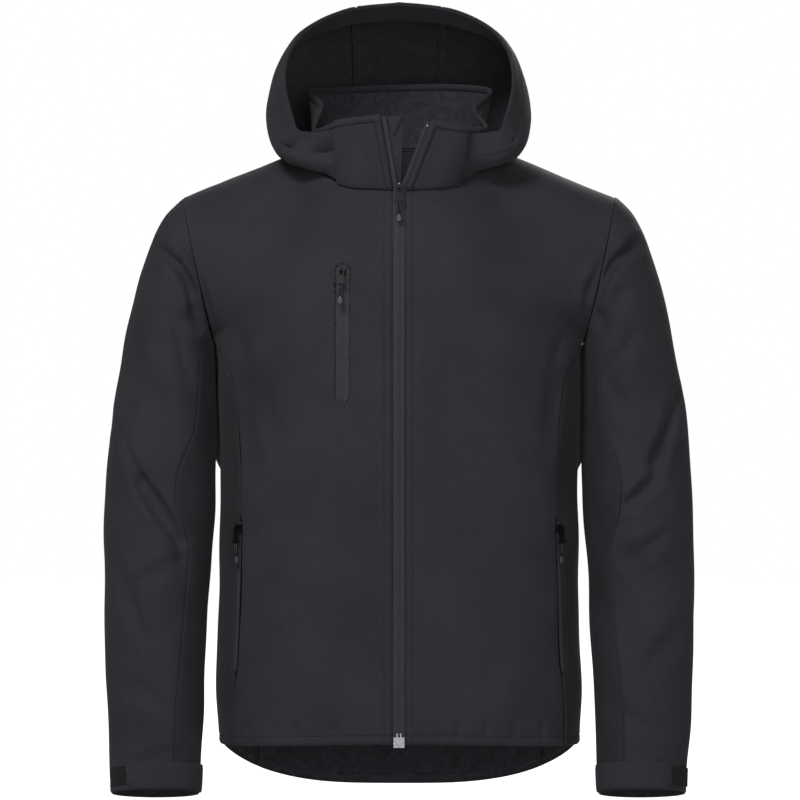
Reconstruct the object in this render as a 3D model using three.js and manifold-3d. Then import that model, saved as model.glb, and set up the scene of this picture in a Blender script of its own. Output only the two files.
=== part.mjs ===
// A hooded softshell jacket, filled out as when it is worn, with its zip closed to the neck.
// Millimetres. +Z is up, the front faces -Y and +X is the wearer's left.
// The origin is the middle of the neck opening, level with the joint of shoulder and neck.
import * as THREE from 'three';
import { mergeVertices } from 'three/addons/utils/BufferGeometryUtils.js';
import Module from 'manifold-3d';

const wasm = await Module();
wasm.setup();
const { lerp, clamp, smoothstep, degToRad } = THREE.MathUtils;
const jacket = new THREE.Group();

// Driving sizes
const CLOTH = 2.0;              // face cloth, membrane and fleece together
const TRIM = 1.2;               // zip tape, loop patch and facing
const SEAM_GAP = 0.3;           // between two pieces that are sewn together
const ARMHOLE_GAP = 0.8;        // between the cut edges of sleeve and body, which lean apart
const SQUARE = 2.35;            // how square the body's section is: 2 is an ellipse
const HEM_FRONT = -677;
const HEM_SIDE = -686;
const TAIL_DROP = 64;           // how far the back hem hangs below the side hem
const CHEST = -240;             // where the plain body ends and the yoke begins
const ZIP_HALF = 7.5;           // from the middle to each front edge
const POCKET_TOP = -425;
const POCKET_FOOT = -600;
const POCKET_HALF = 4;          // half the width that a hand pocket's zip opens the seam by
const CHEST_ZIP = { x: -64, top: -133, foot: -289, half: 8 };
const TURN_LENGTH = 575;        // cloth from centre front to centre back
const HOOD_LIFT = 3.0;          // hood cloth over the collar, under the front tabs

// The body's half width and its depth to the front and the back at each height
const BODY = [
  { z: -760, half: 210, front: 132, back: 136 },
  { z: -681, half: 211.5, front: 133, back: 134 },
  { z: -625, half: 213.5, front: 134, back: 130 },
  { z: -544, half: 211, front: 136, back: 123 },
  { z: -450, half: 209, front: 139, back: 117 },
  { z: -369, half: 209, front: 143, back: 121 },
  { z: -300, half: 210, front: 146, back: 129 },
  { z: -214, half: 212, front: 145, back: 135 },
];

// Where the two side seams lie, as a turn from 0 at the centre front to 1 at the centre back
const SEAMS = [
  { z: -760, front: 0.349, back: 0.72 },
  { z: -681, front: 0.345, back: 0.72 },
  { z: -600, front: 0.334, back: 0.715 },
  { z: -462, front: 0.328, back: 0.71 },
  { z: -369, front: 0.324, back: 0.70 },
  { z: -292, front: 0.338, back: 0.67 },
  { z: -256, front: 0.36, back: 0.64 },
  { z: -240, front: 0.393, back: 0.607 },
];

// The neck seam on the wearer's left, from the centre front (0) over the shoulder to the back (7)
const NECK = [
  { at: 0, x: ZIP_HALF, y: -121, z: -48 },
  { at: 1, x: 40, y: -113, z: -45 },
  { at: 2, x: 70, y: -96, z: -37 },
  { at: 3, x: 95, y: -58, z: -18 },
  { at: 4, x: 104, y: 0, z: 10 },
  { at: 5, x: 88, y: 48, z: 15 },
  { at: 6, x: 48, y: 77, z: 14 },
  { at: 7, x: 0, y: 86, z: 13 },
];
const NECK_SHOULDER = 4;
const NECK_BACK = 7;

// The collar's top edge at the same places, on the wearer's right and left
const COLLAR_RIGHT = [
  { at: 0, x: 22, y: -128, z: 37 },
  { at: 1, x: 48, y: -121, z: 34 },
  { at: 2, x: 73, y: -108, z: 30 },
  { at: 3, x: 98, y: -72, z: 25 },
  { at: 4, x: 90, y: -20, z: 58 },
  { at: 5, x: 106, y: 22, z: 78 },
  { at: 6, x: 60, y: 64, z: 86 },
  { at: 7, x: 0, y: 80, z: 90 },
];
const COLLAR_LEFT = [
  { at: 0, x: 38, y: -126, z: 31 },
  { at: 1, x: 60, y: -117, z: 27 },
  { at: 2, x: 80, y: -104, z: 25 },
  { at: 3, x: 101, y: -70, z: 29 },
  { at: 4, x: 87, y: -20, z: 54 },
  { at: 5, x: 109, y: 22, z: 79 },
  { at: 6, x: 62, y: 64, z: 89 },
  { at: 7, x: 0, y: 80, z: 90 },
];
const TAB_END = { right: 1.9, left: 1.8 };      // the collar tabs' free edges, as places along the neck
const TAB_LIFT = { front: 2.6, overHood: 5.8 };

// The hood's ribs from the tab (0) to the centre back (7): where each starts on the neck,
// its end on the rim, and the pull of its low and high ends, which bellies it out
const HOOD = [
  { rib: 0, neck: 1.65, x: 64, y: -112, z: 19, lowX: 2, lowY: -4, lowZ: 18, highX: 1, highY: -1, highZ: -18 },
  { rib: 1, neck: 2.6, x: 112, y: -95, z: 20, lowX: 44, lowY: -12, lowZ: 0, highX: 24, highY: 14, highZ: -8 },
  { rib: 2, neck: 3.3, x: 124, y: -87, z: 41, lowX: 58, lowY: 6, lowZ: -8, highX: 34, highY: 40, highZ: -6 },
  { rib: 3, neck: 4, x: 133, y: -74, z: 78, lowX: 66, lowY: 40, lowZ: -6, highX: 26, highY: 70, highZ: 8 },
  { rib: 4, neck: 4.7, x: 127, y: -58, z: 118, lowX: 62, lowY: 90, lowZ: -22, highX: 22, highY: 92, highZ: 14 },
  { rib: 5, neck: 5.4, x: 104, y: -38, z: 148, lowX: 48, lowY: 124, lowZ: -34, highX: 16, highY: 124, highZ: 18 },
  { rib: 6, neck: 6.2, x: 58, y: -20, z: 170, lowX: 22, lowY: 144, lowZ: -46, highX: 8, highY: 148, highZ: 12 },
  { rib: 7, neck: 7, x: 0, y: -12, z: 178, lowX: 0, lowY: 152, lowZ: -50, highX: 0, highY: 162, highZ: 8 },
];
const HOOD_SEAM = 6.15;         // the rib that the side and centre panels meet on
const HOOD_RIBS = 7;
const FACING = 28;

// The sleeve's rings: the outline's outer and inner point, the half depth from front to back,
// how far forward it hangs, its tilt in degrees, and the angle of its front seam
const SLEEVE = [
  { ring: 0, outX: 252, outZ: -50, inX: 214, inZ: -222, depth: 66, fore: 0, tilt: 0, seam: 142 },
  { ring: 1, outX: 262, outZ: -58, inX: 214.2, inZ: -225, depth: 69, fore: 0, tilt: 0, seam: 140 },
  { ring: 2, outX: 275, outZ: -73, inX: 214.3, inZ: -228, depth: 72, fore: -1, tilt: 0, seam: 138 },
  { ring: 3, outX: 289, outZ: -101, inX: 214.4, inZ: -233, depth: 74, fore: -2, tilt: 0, seam: 136 },
  { ring: 4, outX: 302, outZ: -140, inX: 214, inZ: -245, depth: 74.5, fore: -3, tilt: 0, seam: 134 },
  { ring: 5, outX: 313, outZ: -186, inX: 213.6, inZ: -266, depth: 73, fore: -4, tilt: 1, seam: 132 },
  { ring: 6, outX: 324, outZ: -240, inX: 213.3, inZ: -298, depth: 70, fore: -6, tilt: 2, seam: 131 },
  { ring: 7, outX: 333, outZ: -292, inX: 213.2, inZ: -335, depth: 67, fore: -9, tilt: 3, seam: 128 },
  { ring: 8, outX: 339, outZ: -346, inX: 213.4, inZ: -376, depth: 64, fore: -13, tilt: 4, seam: 113 },
  { ring: 9, outX: 342, outZ: -402, inX: 214.5, inZ: -420, depth: 61, fore: -18, tilt: 6, seam: 111 },
  { ring: 10, outX: 343, outZ: -462, inX: 218, inZ: -468, depth: 57, fore: -23, tilt: 8, seam: 128 },
  { ring: 11, outX: 342.5, outZ: -524, inX: 221, inZ: -524, depth: 53, fore: -28, tilt: 9, seam: 127 },
  { ring: 12, outX: 341, outZ: -586, inX: 224, inZ: -586, depth: 48, fore: -33, tilt: 10, seam: 124 },
  { ring: 13, outX: 338, outZ: -650, inX: 227, inZ: -650, depth: 43, fore: -38, tilt: 12, seam: 118 },
  { ring: 14, outX: 334.5, outZ: -704, inX: 229, inZ: -704, depth: 39, fore: -42, tilt: 13, seam: 117 },
  { ring: 15, outX: 333, outZ: -742, inX: 230, inZ: -742, depth: 36, fore: -45, tilt: 14, seam: 117 },
];
const LAST_RING = 15;
const BACK_SEAM = 235;

// The largest folds, as soft troughs seen from the front (face -1) or the back (face 1).
// side is -1 for the wearer's right and 1 for the left.
const FOLDS = [
  { side: -1, face: -1, x0: -281, z0: -112, x1: -236, z1: -160, wide: 9, deep: 6 },
  { side: -1, face: -1, x0: -295, z0: -380, x1: -252, z1: -447, wide: 10, deep: 5 },
  { side: -1, face: 1, x0: -290, z0: -125, x1: -240, z1: -170, wide: 10, deep: 6 },
  { side: -1, face: 1, x0: -330, z0: -400, x1: -250, z1: -430, wide: 12, deep: 5 },
  { side: 1, face: -1, x0: 275, z0: -108, x1: 238, z1: -142, wide: 8, deep: 6 },
  { side: 1, face: -1, x0: 256, z0: -166, x1: 232, z1: -196, wide: 9, deep: 5 },
  { side: 1, face: -1, x0: 324, z0: -280, x1: 294, z1: -361, wide: 10, deep: 6 },
  { side: 1, face: -1, x0: 292, z0: -380, x1: 262, z1: -406, wide: 9, deep: 5 },
  { side: 1, face: 1, x0: 292, z0: -118, x1: 244, z1: -165, wide: 10, deep: 6 },
  { side: 1, face: 1, x0: 328, z0: -330, x1: 262, z1: -392, wide: 12, deep: 6 },
];

const point = (x, y, z) => new THREE.Vector3(x, y, z);

// Every column of a table at one place, on a smooth curve through its rows
function readTable(rows, key, at) {
  let i = 0;
  while (i < rows.length - 2 && at > rows[i + 1][key]) i += 1;
  const [a, b] = [rows[i], rows[i + 1]];
  const before = rows[Math.max(i - 1, 0)];
  const after = rows[Math.min(i + 2, rows.length - 1)];
  const span = b[key] - a[key];
  const t = clamp((at - a[key]) / span, 0, 1);
  const out = {};
  for (const name of Object.keys(a)) {
    const slopeA = (b[name] - before[name]) * span / (b[key] - before[key]);
    const slopeB = (after[name] - a[name]) * span / (after[key] - a[key]);
    out[name] = a[name] * (1 + 2 * t) * (1 - t) ** 2 + slopeA * t * (1 - t) ** 2
      + b[name] * t * t * (3 - 2 * t) + slopeB * t * t * (t - 1);
  }
  return out;
}

function bezier(p0, p1, p2, p3, t) {
  const u = 1 - t;
  return point(0, 0, 0)
    .addScaledVector(p0, u * u * u)
    .addScaledVector(p1, 3 * u * u * t)
    .addScaledVector(p2, 3 * u * t * t)
    .addScaledVector(p3, t * t * t);
}

// The trough depth of the folds that pass near a point
function foldDepth(p, face) {
  let depth = 0;
  for (const fold of FOLDS) {
    if (fold.face !== face || fold.side * p.x < 0) continue;
    const run = new THREE.Vector2(fold.x1 - fold.x0, fold.z1 - fold.z0);
    const from = new THREE.Vector2(p.x - fold.x0, p.z - fold.z0);
    const t = clamp(from.dot(run) / run.lengthSq(), 0, 1);
    const away = from.addScaledVector(run, -t).length();
    depth += fold.deep * Math.exp(-((away / fold.wide) ** 2));
  }
  return depth;
}

// Body

function bodyAt(side, turn, z) {
  const size = readTable(BODY, 'z', z);
  const angle = turn * Math.PI;
  const across = Math.sin(angle) ** (2 / SQUARE);
  const along = Math.abs(Math.cos(angle)) ** (2 / SQUARE);
  const y = turn < 0.5 ? -size.front * along : size.back * along;
  return point(side * size.half * across, y, z);
}

function hemAt(turn) {
  const across = Math.sin(turn * Math.PI) ** (2 / SQUARE);
  if (turn < 0.5) return lerp(HEM_FRONT, HEM_SIDE, across ** 2);
  return HEM_SIDE - TAIL_DROP * (1 - across ** 3) ** 0.68;
}

function edgeTurn(z) {
  const { half } = readTable(BODY, 'z', z);
  return Math.asin((ZIP_HALF / half) ** (SQUARE / 2)) / Math.PI;
}

// How far, as a turn, a panel's edge draws back in the rows where a hand pocket's zip opens the seam
function pocketGape(z) {
  return z > POCKET_FOOT && z < POCKET_TOP ? POCKET_HALF / TURN_LENGTH : 0;
}

function neckAt(side, at) {
  const n = readTable(NECK, 'at', at);
  return point(side * n.x, n.y, n.z);
}

function sleeveAt(side, ring, degrees) {
  const r = readTable(SLEEVE, 'ring', ring);
  const angle = degToRad(degrees);
  const tilt = degToRad(r.tilt);
  const middle = point((r.outX + r.inX) / 2, r.fore, (r.outZ + r.inZ) / 2);
  const toOuter = point((r.outX - r.inX) / 2, 0, (r.outZ - r.inZ) / 2);
  const toFront = point(0, -Math.cos(tilt), Math.sin(tilt));
  const p = middle.addScaledVector(toOuter, Math.cos(angle));
  p.addScaledVector(toFront, r.depth * Math.sin(angle));
  p.x *= side;
  const round = Math.sin(angle);
  const fade = smoothstep(ring, 0.3, 2);
  p.y += fade * Math.max(round, 0) * foldDepth(p, -1) - fade * Math.max(-round, 0) * foldDepth(p, 1);
  return p;
}

const SEAM_RING = 155;           // the armhole angle that the side seams run into
const LOWER_ROWS = 13;
const YOKE_ROWS = 10;
const SEAM_ROWS = 2;             // yoke rows that still follow the side seam
const PANEL_COLUMNS = 8;

// The seam from the chest line into the armhole, and on round the armhole to the shoulder
function armholeEdge(side, face, w) {
  const turn = face < 0 ? readTable(SEAMS, 'z', CHEST).front : readTable(SEAMS, 'z', CHEST).back;
  const seamShare = SEAM_ROWS / YOKE_ROWS;
  if (w <= seamShare) {
    const top = sleeveAt(side, 0, -face * SEAM_RING);
    return bodyAt(side, turn, CHEST).lerp(top, w / seamShare);
  }
  const left = 1 - (w - seamShare) / (1 - seamShare);
  return sleeveAt(side, 0, -face * SEAM_RING * left);
}

// A front (face -1) or back (face 1) above the chest: s from the middle to the armhole, w upward
function yokeAt(side, face, s, w) {
  const turns = readTable(SEAMS, 'z', CHEST);
  const turn = face < 0 ? lerp(edgeTurn(CHEST), turns.front, s) : lerp(1, turns.back, s);
  const foot = bodyAt(side, turn, CHEST);
  const neckStart = face < 0 ? 0 : NECK_BACK;
  const shoulder = sleeveAt(side, 0, 0);
  const top = s < 0.5
    ? neckAt(side, lerp(neckStart, NECK_SHOULDER, s * 2))
    : neckAt(side, NECK_SHOULDER).lerp(shoulder, s * 2 - 1);
  const roll = smoothstep(s, 0, 0.55);
  const leave = face < 0
    ? point(0, lerp(-8, -60, roll), lerp(-62, -12, roll))
    : point(0, lerp(14, 60, roll), lerp(-50, -12, roll));
  const rise = point(0, face * 3, (top.z - foot.z) * 0.42);
  const column = (k, from, up, down, to) => bezier(from, from.clone().add(up), to.clone().add(down), to, k);
  const p = column(w, foot, rise, leave, top);
  const edgeFoot = bodyAt(side, face < 0 ? turns.front : turns.back, CHEST);
  const edgeRise = point(0, face * 3, (shoulder.z - edgeFoot.z) * 0.42);
  const edge = column(w, edgeFoot, edgeRise, point(0, face * 60, -12), shoulder);
  const wanted = armholeEdge(side, face, w).sub(edge);
  return p.addScaledVector(wanted, s ** 3);
}

// A front or back at s across and v up: v is 0 at the hem, 1 at the chest and 2 at the top
function panelAt(side, face, s, v) {
  if (v > 1) return yokeAt(side, face, s, v - 1);
  const { front, back } = SEAMS[0];
  let z = lerp(hemAt(face < 0 ? front * s : lerp(1, back, s)), CHEST, v);
  const turnAt = (height) => {
    const seams = readTable(SEAMS, 'z', height);
    if (face > 0) return lerp(1, seams.back, s);
    return lerp(edgeTurn(height), seams.front - pocketGape(height), s);
  };
  z = lerp(hemAt(turnAt(z)), CHEST, v);
  return bodyAt(side, turnAt(z), z);
}

// The place on a front at a given x and z
function frontAt(side, x, z) {
  let s = 0.4;
  let v = 1;
  for (let i = 0; i < 60; i += 1) {
    const p = panelAt(side, -1, s, v);
    s = clamp(s + (x - side * p.x) / 210, 0, 1);
    v = clamp(v + (z - p.z) / 460, 0, 2);
  }
  return panelAt(side, -1, s, v);
}

// Cloth walls

// A grid of points from a function of the row and the column, each running from 0 to 1
function grid(rows, columns, at) {
  return Array.from({ length: rows + 1 }, (_, i) => (
    Array.from({ length: columns + 1 }, (__, j) => at(i / rows, j / columns))));
}

function gridNormals(points, middle) {
  const rows = points.length - 1;
  const columns = points[0].length - 1;
  let vote = 0;
  const normals = points.map((row, i) => row.map((p, j) => {
    const up = points[Math.min(i + 1, rows)][j].clone().sub(points[Math.max(i - 1, 0)][j]);
    const over = row[Math.min(j + 1, columns)].clone().sub(row[Math.max(j - 1, 0)]);
    const n = over.cross(up).normalize();
    vote += n.dot(p.clone().sub(middle(p)));
    return n;
  }));
  if (vote < 0) normals.flat().forEach((n) => n.negate());
  return normals;
}

const seamKey = (p) => [p.x, p.y, p.z].map((c) => Math.round(c * 20)).join();
const seamNormals = new Map();
const panels = [];

// Notes down a cloth piece. middle gives a place inside the form for each point, lift moves the
// outer face out from the points, and thick is the wall.
function addPanel(name, points, { middle, material, thick = CLOTH, lift = () => 0, cut = null }) {
  const normals = gridNormals(points, middle);
  points.forEach((row, i) => row.forEach((p, j) => {
    const key = seamKey(p);
    if (!seamNormals.has(key)) seamNormals.set(key, point(0, 0, 0));
    seamNormals.get(key).add(normals[i][j]);
  }));
  panels.push({ name, points, material, thick, lift, cut });
}

// The closed wall of one cloth piece: outer face, inner face and the cut edge between them
function wallGeometry({ points, thick, lift }) {
  const rows = points.length - 1;
  const columns = points[0].length - 1;
  const positions = [];
  const layers = [0, thick].map((deep) => points.map((row, i) => row.map((p, j) => {
    const n = seamNormals.get(seamKey(p)).clone().normalize();
    const q = p.clone();
    const inward = (a) => a.clone().sub(p).setLength(SEAM_GAP / 2);
    if (i === 0) q.add(inward(points[1][j]));
    if (i === rows) q.add(inward(points[rows - 1][j]));
    if (j === 0) q.add(inward(row[1]));
    if (j === columns) q.add(inward(row[columns - 1]));
    q.addScaledVector(n, lift(i / rows, j / columns) - deep);
    positions.push(q.x, q.y, q.z);
    return positions.length / 3 - 1;
  })));
  const [outer, inner] = layers;
  const index = [];
  const quad = (a, b, c, d) => index.push(a, b, c, a, c, d);
  for (let i = 0; i < rows; i += 1) {
    for (let j = 0; j < columns; j += 1) {
      quad(outer[i][j], outer[i][j + 1], outer[i + 1][j + 1], outer[i + 1][j]);
      quad(inner[i][j], inner[i + 1][j], inner[i + 1][j + 1], inner[i][j + 1]);
    }
  }
  for (let j = 0; j < columns; j += 1) {
    quad(inner[0][j], inner[0][j + 1], outer[0][j + 1], outer[0][j]);
    quad(outer[rows][j], outer[rows][j + 1], inner[rows][j + 1], inner[rows][j]);
  }
  for (let i = 0; i < rows; i += 1) {
    quad(outer[i][0], outer[i + 1][0], inner[i + 1][0], inner[i][0]);
    quad(inner[i][columns], inner[i + 1][columns], outer[i + 1][columns], outer[i][columns]);
  }
  const geometry = new THREE.BufferGeometry();
  geometry.setAttribute('position', new THREE.Float32BufferAttribute(positions, 3));
  geometry.setIndex(index);
  return facingOut(geometry);
}

// Turns every triangle over if the solid is inside out
function facingOut(geometry) {
  const { position } = geometry.attributes;
  const index = geometry.index.array;
  const corner = (k) => new THREE.Vector3().fromBufferAttribute(position, index[k]);
  let volume = 0;
  for (let k = 0; k < index.length; k += 3) {
    volume += corner(k).dot(corner(k + 1).cross(corner(k + 2)));
  }
  if (volume < 0) {
    for (let k = 0; k < index.length; k += 3) {
      [index[k + 1], index[k + 2]] = [index[k + 2], index[k + 1]];
    }
  }
  geometry.computeVertexNormals();
  return geometry;
}

// Solids that are cut and joined

function toSolid(geometry) {
  const bare = geometry.clone();
  bare.deleteAttribute('normal');
  bare.deleteAttribute('uv');
  const merged = mergeVertices(bare, 1e-4);
  return new wasm.Manifold(new wasm.Mesh({
    numProp: 3,
    vertProperties: new Float32Array(merged.attributes.position.array),
    triVerts: new Uint32Array(merged.index.array),
  }));
}

function toGeometry(solid) {
  const mesh = solid.getMesh();
  const geometry = new THREE.BufferGeometry();
  geometry.setAttribute('position', new THREE.Float32BufferAttribute(mesh.vertProperties, 3));
  geometry.setIndex(new THREE.Uint32BufferAttribute(mesh.triVerts, 1));
  geometry.computeVertexNormals();
  return geometry;
}

const joined = (...geometries) => toGeometry(geometries.map(toSolid).reduce((a, b) => a.add(b)));

const cloth = (colour) => new THREE.MeshStandardMaterial({ color: colour, roughness: 0.85, metalness: 0 });
const SHELL = cloth(0x303034);
const SIDE_SHELL = cloth(0x2b2b2f);
const FLEECE = cloth(0x3a3a3d);
const TAPE = cloth(0x3d3d40);
const LOOP = cloth(0x1c1c1e);
const GRIP = cloth(0x18181a);
const BLACK_METAL = new THREE.MeshStandardMaterial({ color: 0x1a1a1c, roughness: 0.4, metalness: 0.7 });
const STEEL = new THREE.MeshStandardMaterial({ color: 0xb8babc, roughness: 0.3, metalness: 0.9 });

const bodyAxis = (p) => point(0, 0, p.z);
const RIGHT = -1;
const LEFT = 1;
const SIDES = [['right', RIGHT], ['left', LEFT]];

// Fronts and back
const BODY_ROWS = LOWER_ROWS + YOKE_ROWS;
const bodyRow = (u) => {
  const row = Math.round(u * BODY_ROWS);
  return row <= LOWER_ROWS ? row / LOWER_ROWS : 1 + (row - LOWER_ROWS) / YOKE_ROWS;
};

function slotCutter() {
  const { x, top, foot, half } = CHEST_ZIP;
  const shape = new THREE.Shape();
  shape.absarc(x, top - half, half, 0, Math.PI);
  shape.absarc(x, foot + half, half, Math.PI, 2 * Math.PI);
  const geometry = new THREE.ExtrudeGeometry(shape, { depth: 80, bevelEnabled: false, curveSegments: 8 });
  geometry.rotateX(Math.PI / 2);
  geometry.translate(0, -100, 0);
  return geometry;
}

for (const [name, side] of SIDES) {
  const points = grid(BODY_ROWS, PANEL_COLUMNS, (u, s) => panelAt(side, -1, s, bodyRow(u)));
  const cut = side === RIGHT ? slotCutter : null;
  addPanel(`front_${name}`, points, { middle: bodyAxis, material: SHELL, cut });
}
addPanel('back', grid(BODY_ROWS, 2 * PANEL_COLUMNS, (u, k) => {
  const s = 2 * k - 1;
  return panelAt(s < 0 ? RIGHT : LEFT, 1, Math.abs(s), bodyRow(u));
}), { middle: bodyAxis, material: SHELL });

// Side panels, from the hem up into the armhole
function sideAt(side, u, k) {
  const row = Math.round(u * (LOWER_ROWS + SEAM_ROWS));
  if (row > LOWER_ROWS) {
    const w = (row - LOWER_ROWS) / SEAM_ROWS;
    const seams = readTable(SEAMS, 'z', CHEST);
    const foot = bodyAt(side, lerp(seams.front, seams.back, k), CHEST);
    return foot.lerp(sleeveAt(side, 0, lerp(SEAM_RING, 360 - SEAM_RING, k)), w);
  }
  if (k === 0) return panelSeam(side, -1, row / LOWER_ROWS);
  if (k === 1) return panelSeam(side, 1, row / LOWER_ROWS);
  const turnAt = (z) => {
    const seams = readTable(SEAMS, 'z', z);
    return lerp(seams.front + pocketGape(z), seams.back, k);
  };
  let z = lerp(HEM_SIDE, CHEST, row / LOWER_ROWS);
  z = lerp(hemAt(turnAt(z)), CHEST, row / LOWER_ROWS);
  return bodyAt(side, turnAt(z), z);
}

// The edge that a side panel shares with a front or the back
function panelSeam(side, face, v) {
  const seam = panelAt(side, face, 1, v);
  if (face > 0) return seam;
  const seams = readTable(SEAMS, 'z', seam.z);
  return bodyAt(side, seams.front + pocketGape(seam.z), seam.z);
}

for (const [name, side] of SIDES) {
  const points = grid(LOWER_ROWS + SEAM_ROWS, 6, (u, k) => sideAt(side, u, k));
  addPanel(`side_${name}`, points, { middle: bodyAxis, material: SIDE_SHELL });
}

// Sleeves, each an upper and an under piece
const SLEEVE_ROWS = 24;
const UPPER_COLUMNS = 12;
const UNDER_COLUMNS = 6;

// The cuff's tab and patch lie between two rings, round from an angle to another
const CUFF = {
  low: 14.93,
  high: 14.12,
  margin: 0.14,
  patchFrom: 14,
  patchTo: 78,
  tabFrom: 56,
  tabTo: 205,
  tabRound: 0.12,
  overPatch: 3.6,
};
const armholeOut = point(0.976, 0, -0.216).multiplyScalar(ARMHOLE_GAP);

function sleevePoint(side, ring, degrees) {
  const p = sleeveAt(side, ring, degrees);
  const near = 1 - smoothstep(ring, 0, 1);
  return p.add(point(side * armholeOut.x, 0, armholeOut.z).multiplyScalar(near));
}

for (const [name, side] of SIDES) {
  const middle = (p) => {
    const ring = SLEEVE.reduce((best, row) => (
      Math.abs((row.outZ + row.inZ) / 2 - p.z) < Math.abs((best.outZ + best.inZ) / 2 - p.z) ? row : best));
    return point(side * (ring.outX + ring.inX) / 2, ring.fore, (ring.outZ + ring.inZ) / 2);
  };
  const between = (from, to) => (u, k) => {
    const ring = (1 - u) * LAST_RING;
    const seam = readTable(SLEEVE, 'ring', ring).seam;
    const degrees = lerp(from ?? seam, to ?? seam, k);
    return sleevePoint(side, ring, degrees);
  };
  const upper = grid(SLEEVE_ROWS, UPPER_COLUMNS, between(BACK_SEAM - 360, null));
  const under = grid(SLEEVE_ROWS, UNDER_COLUMNS, between(null, BACK_SEAM));
  addPanel(`sleeve_upper_${name}`, upper, { middle, material: SHELL });
  addPanel(`sleeve_under_${name}`, under, { middle, material: SIDE_SHELL });

  // Cuff: the loop patch, and over it the tab with a rounded end
  const { low, high, margin, patchFrom, patchTo, tabFrom, tabTo, tabRound } = CUFF;
  const cuffRing = (v) => lerp(low, high, v);
  const rounded = (u, k) => {
    const shrink = Math.sqrt(1 - (1 - Math.min(k / tabRound, 1)) ** 2);
    return 0.5 + (u - 0.5) * lerp(0.25, 1, shrink);
  };
  const patch = grid(2, 8, (u, k) => (
    sleevePoint(side, cuffRing(lerp(margin, 1 - margin, u)), lerp(patchFrom, patchTo, k))));
  addPanel(`cuff_patch_${name}`, patch, { middle, material: LOOP, thick: TRIM, lift: () => TRIM + SEAM_GAP });
  const tab = grid(3, 14, (u, k) => (
    sleevePoint(side, cuffRing(rounded(u, k)), lerp(tabFrom, tabTo, k))));
  const tabLift = (u, k) => lerp(CUFF.overPatch, CLOTH, smoothstep(k, 0.1, 0.3)) + SEAM_GAP;
  addPanel(`cuff_tab_${name}`, tab, { middle, material: SHELL, thick: 1.6, lift: tabLift });
}

// Collar, round the neck from front edge to front edge
function collarAt(side, at, h) {
  const foot = neckAt(side, at);
  const t = readTable(side === RIGHT ? COLLAR_RIGHT : COLLAR_LEFT, 'at', at);
  const top = point(side * t.x, t.y, t.z);
  const p = foot.clone().lerp(top, h);
  const out = point(p.x, p.y, 0).normalize();
  p.addScaledVector(out, 4 * Math.sin(Math.PI * h) * smoothstep(at, 0, 2));
  p.z += (1 - h) * 0.4;
  return p;
}

function collarNormal(side, at, h) {
  const over = collarAt(side, at + 0.1, h).sub(collarAt(side, Math.max(at - 0.1, 0), h));
  const up = collarAt(side, at, h + 0.05).sub(collarAt(side, at, h - 0.05));
  return up.cross(over).multiplyScalar(-side).normalize();
}

const COLLAR_COLUMNS = 11;
addPanel('collar', grid(5, 2 * COLLAR_COLUMNS, (h, k) => {
  const at = 2 * k - 1;
  return collarAt(at < 0 ? RIGHT : LEFT, NECK_BACK * (1 - Math.abs(at)), h);
}), { middle: bodyAxis, material: FLEECE });

for (const [name, side] of SIDES) {
  const points = grid(5, 5, (h, k) => collarAt(side, k * TAB_END[name], h));
  const lift = (h, k) => lerp(TAB_LIFT.front, TAB_LIFT.overHood, smoothstep(k, 0.3, 0.75));
  addPanel(`collar_tab_${name}`, points, { middle: bodyAxis, material: SHELL, thick: 1.8, lift });
}

// Hood
function hoodAt(side, rib, t) {
  const r = readTable(HOOD, 'rib', rib);
  const foot = neckAt(side, r.neck);
  const out = point(foot.x, foot.y, 0).normalize();
  const tangent = neckAt(side, Math.min(r.neck + 0.1, NECK_BACK)).sub(neckAt(side, r.neck - 0.1));
  const square = point(tangent.y, -tangent.x, 0).normalize();
  if (square.dot(out) < 0) square.negate();
  foot.addScaledVector(square, 3.4);
  foot.z += 1.6;
  const rim = point(side * r.x, r.y, r.z);
  const low = foot.clone().add(point(side * r.lowX, r.lowY, r.lowZ));
  const high = rim.clone().add(point(side * r.highX, r.highY, r.highZ));
  const p = bezier(foot, low, high, rim, t);
  const tucked = 1 - smoothstep(rib, 0.42, 0.95);
  if (tucked > 0) {
    const h = lerp(0.03, 0.87, t);
    const onCollar = collarAt(side, r.neck, h).addScaledVector(collarNormal(side, r.neck, h), HOOD_LIFT);
    p.lerp(onCollar, tucked);
  }
  return p;
}

const hoodMiddle = () => point(0, 40, 70);
const HOOD_ROWS = 11;
const HOOD_COLUMNS = 12;
const HOOD_STEP = HOOD_SEAM / HOOD_COLUMNS;

// The last row of the hood's grid is as deep as the facing
function hoodRow(rib, row) {
  if (row === HOOD_ROWS) return 1;
  const r = readTable(HOOD, 'rib', rib);
  const reach = FACING / (3 * Math.hypot(r.highX, r.highY, r.highZ));
  return (1 - Math.min(reach, 0.3)) * row / (HOOD_ROWS - 1);
}

// A point of the hood's grid, with the columns counted from the centre back to each side
const HOOD_CENTRE_COLUMNS = 2;
function hoodGridAt(row, column) {
  const away = Math.abs(column);
  const rib = away <= HOOD_CENTRE_COLUMNS
    ? HOOD_RIBS - away * (HOOD_RIBS - HOOD_SEAM) / HOOD_CENTRE_COLUMNS
    : HOOD_SEAM - (away - HOOD_CENTRE_COLUMNS) * HOOD_STEP;
  return hoodAt(column < 0 ? RIGHT : LEFT, rib, hoodRow(rib, row));
}

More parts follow.
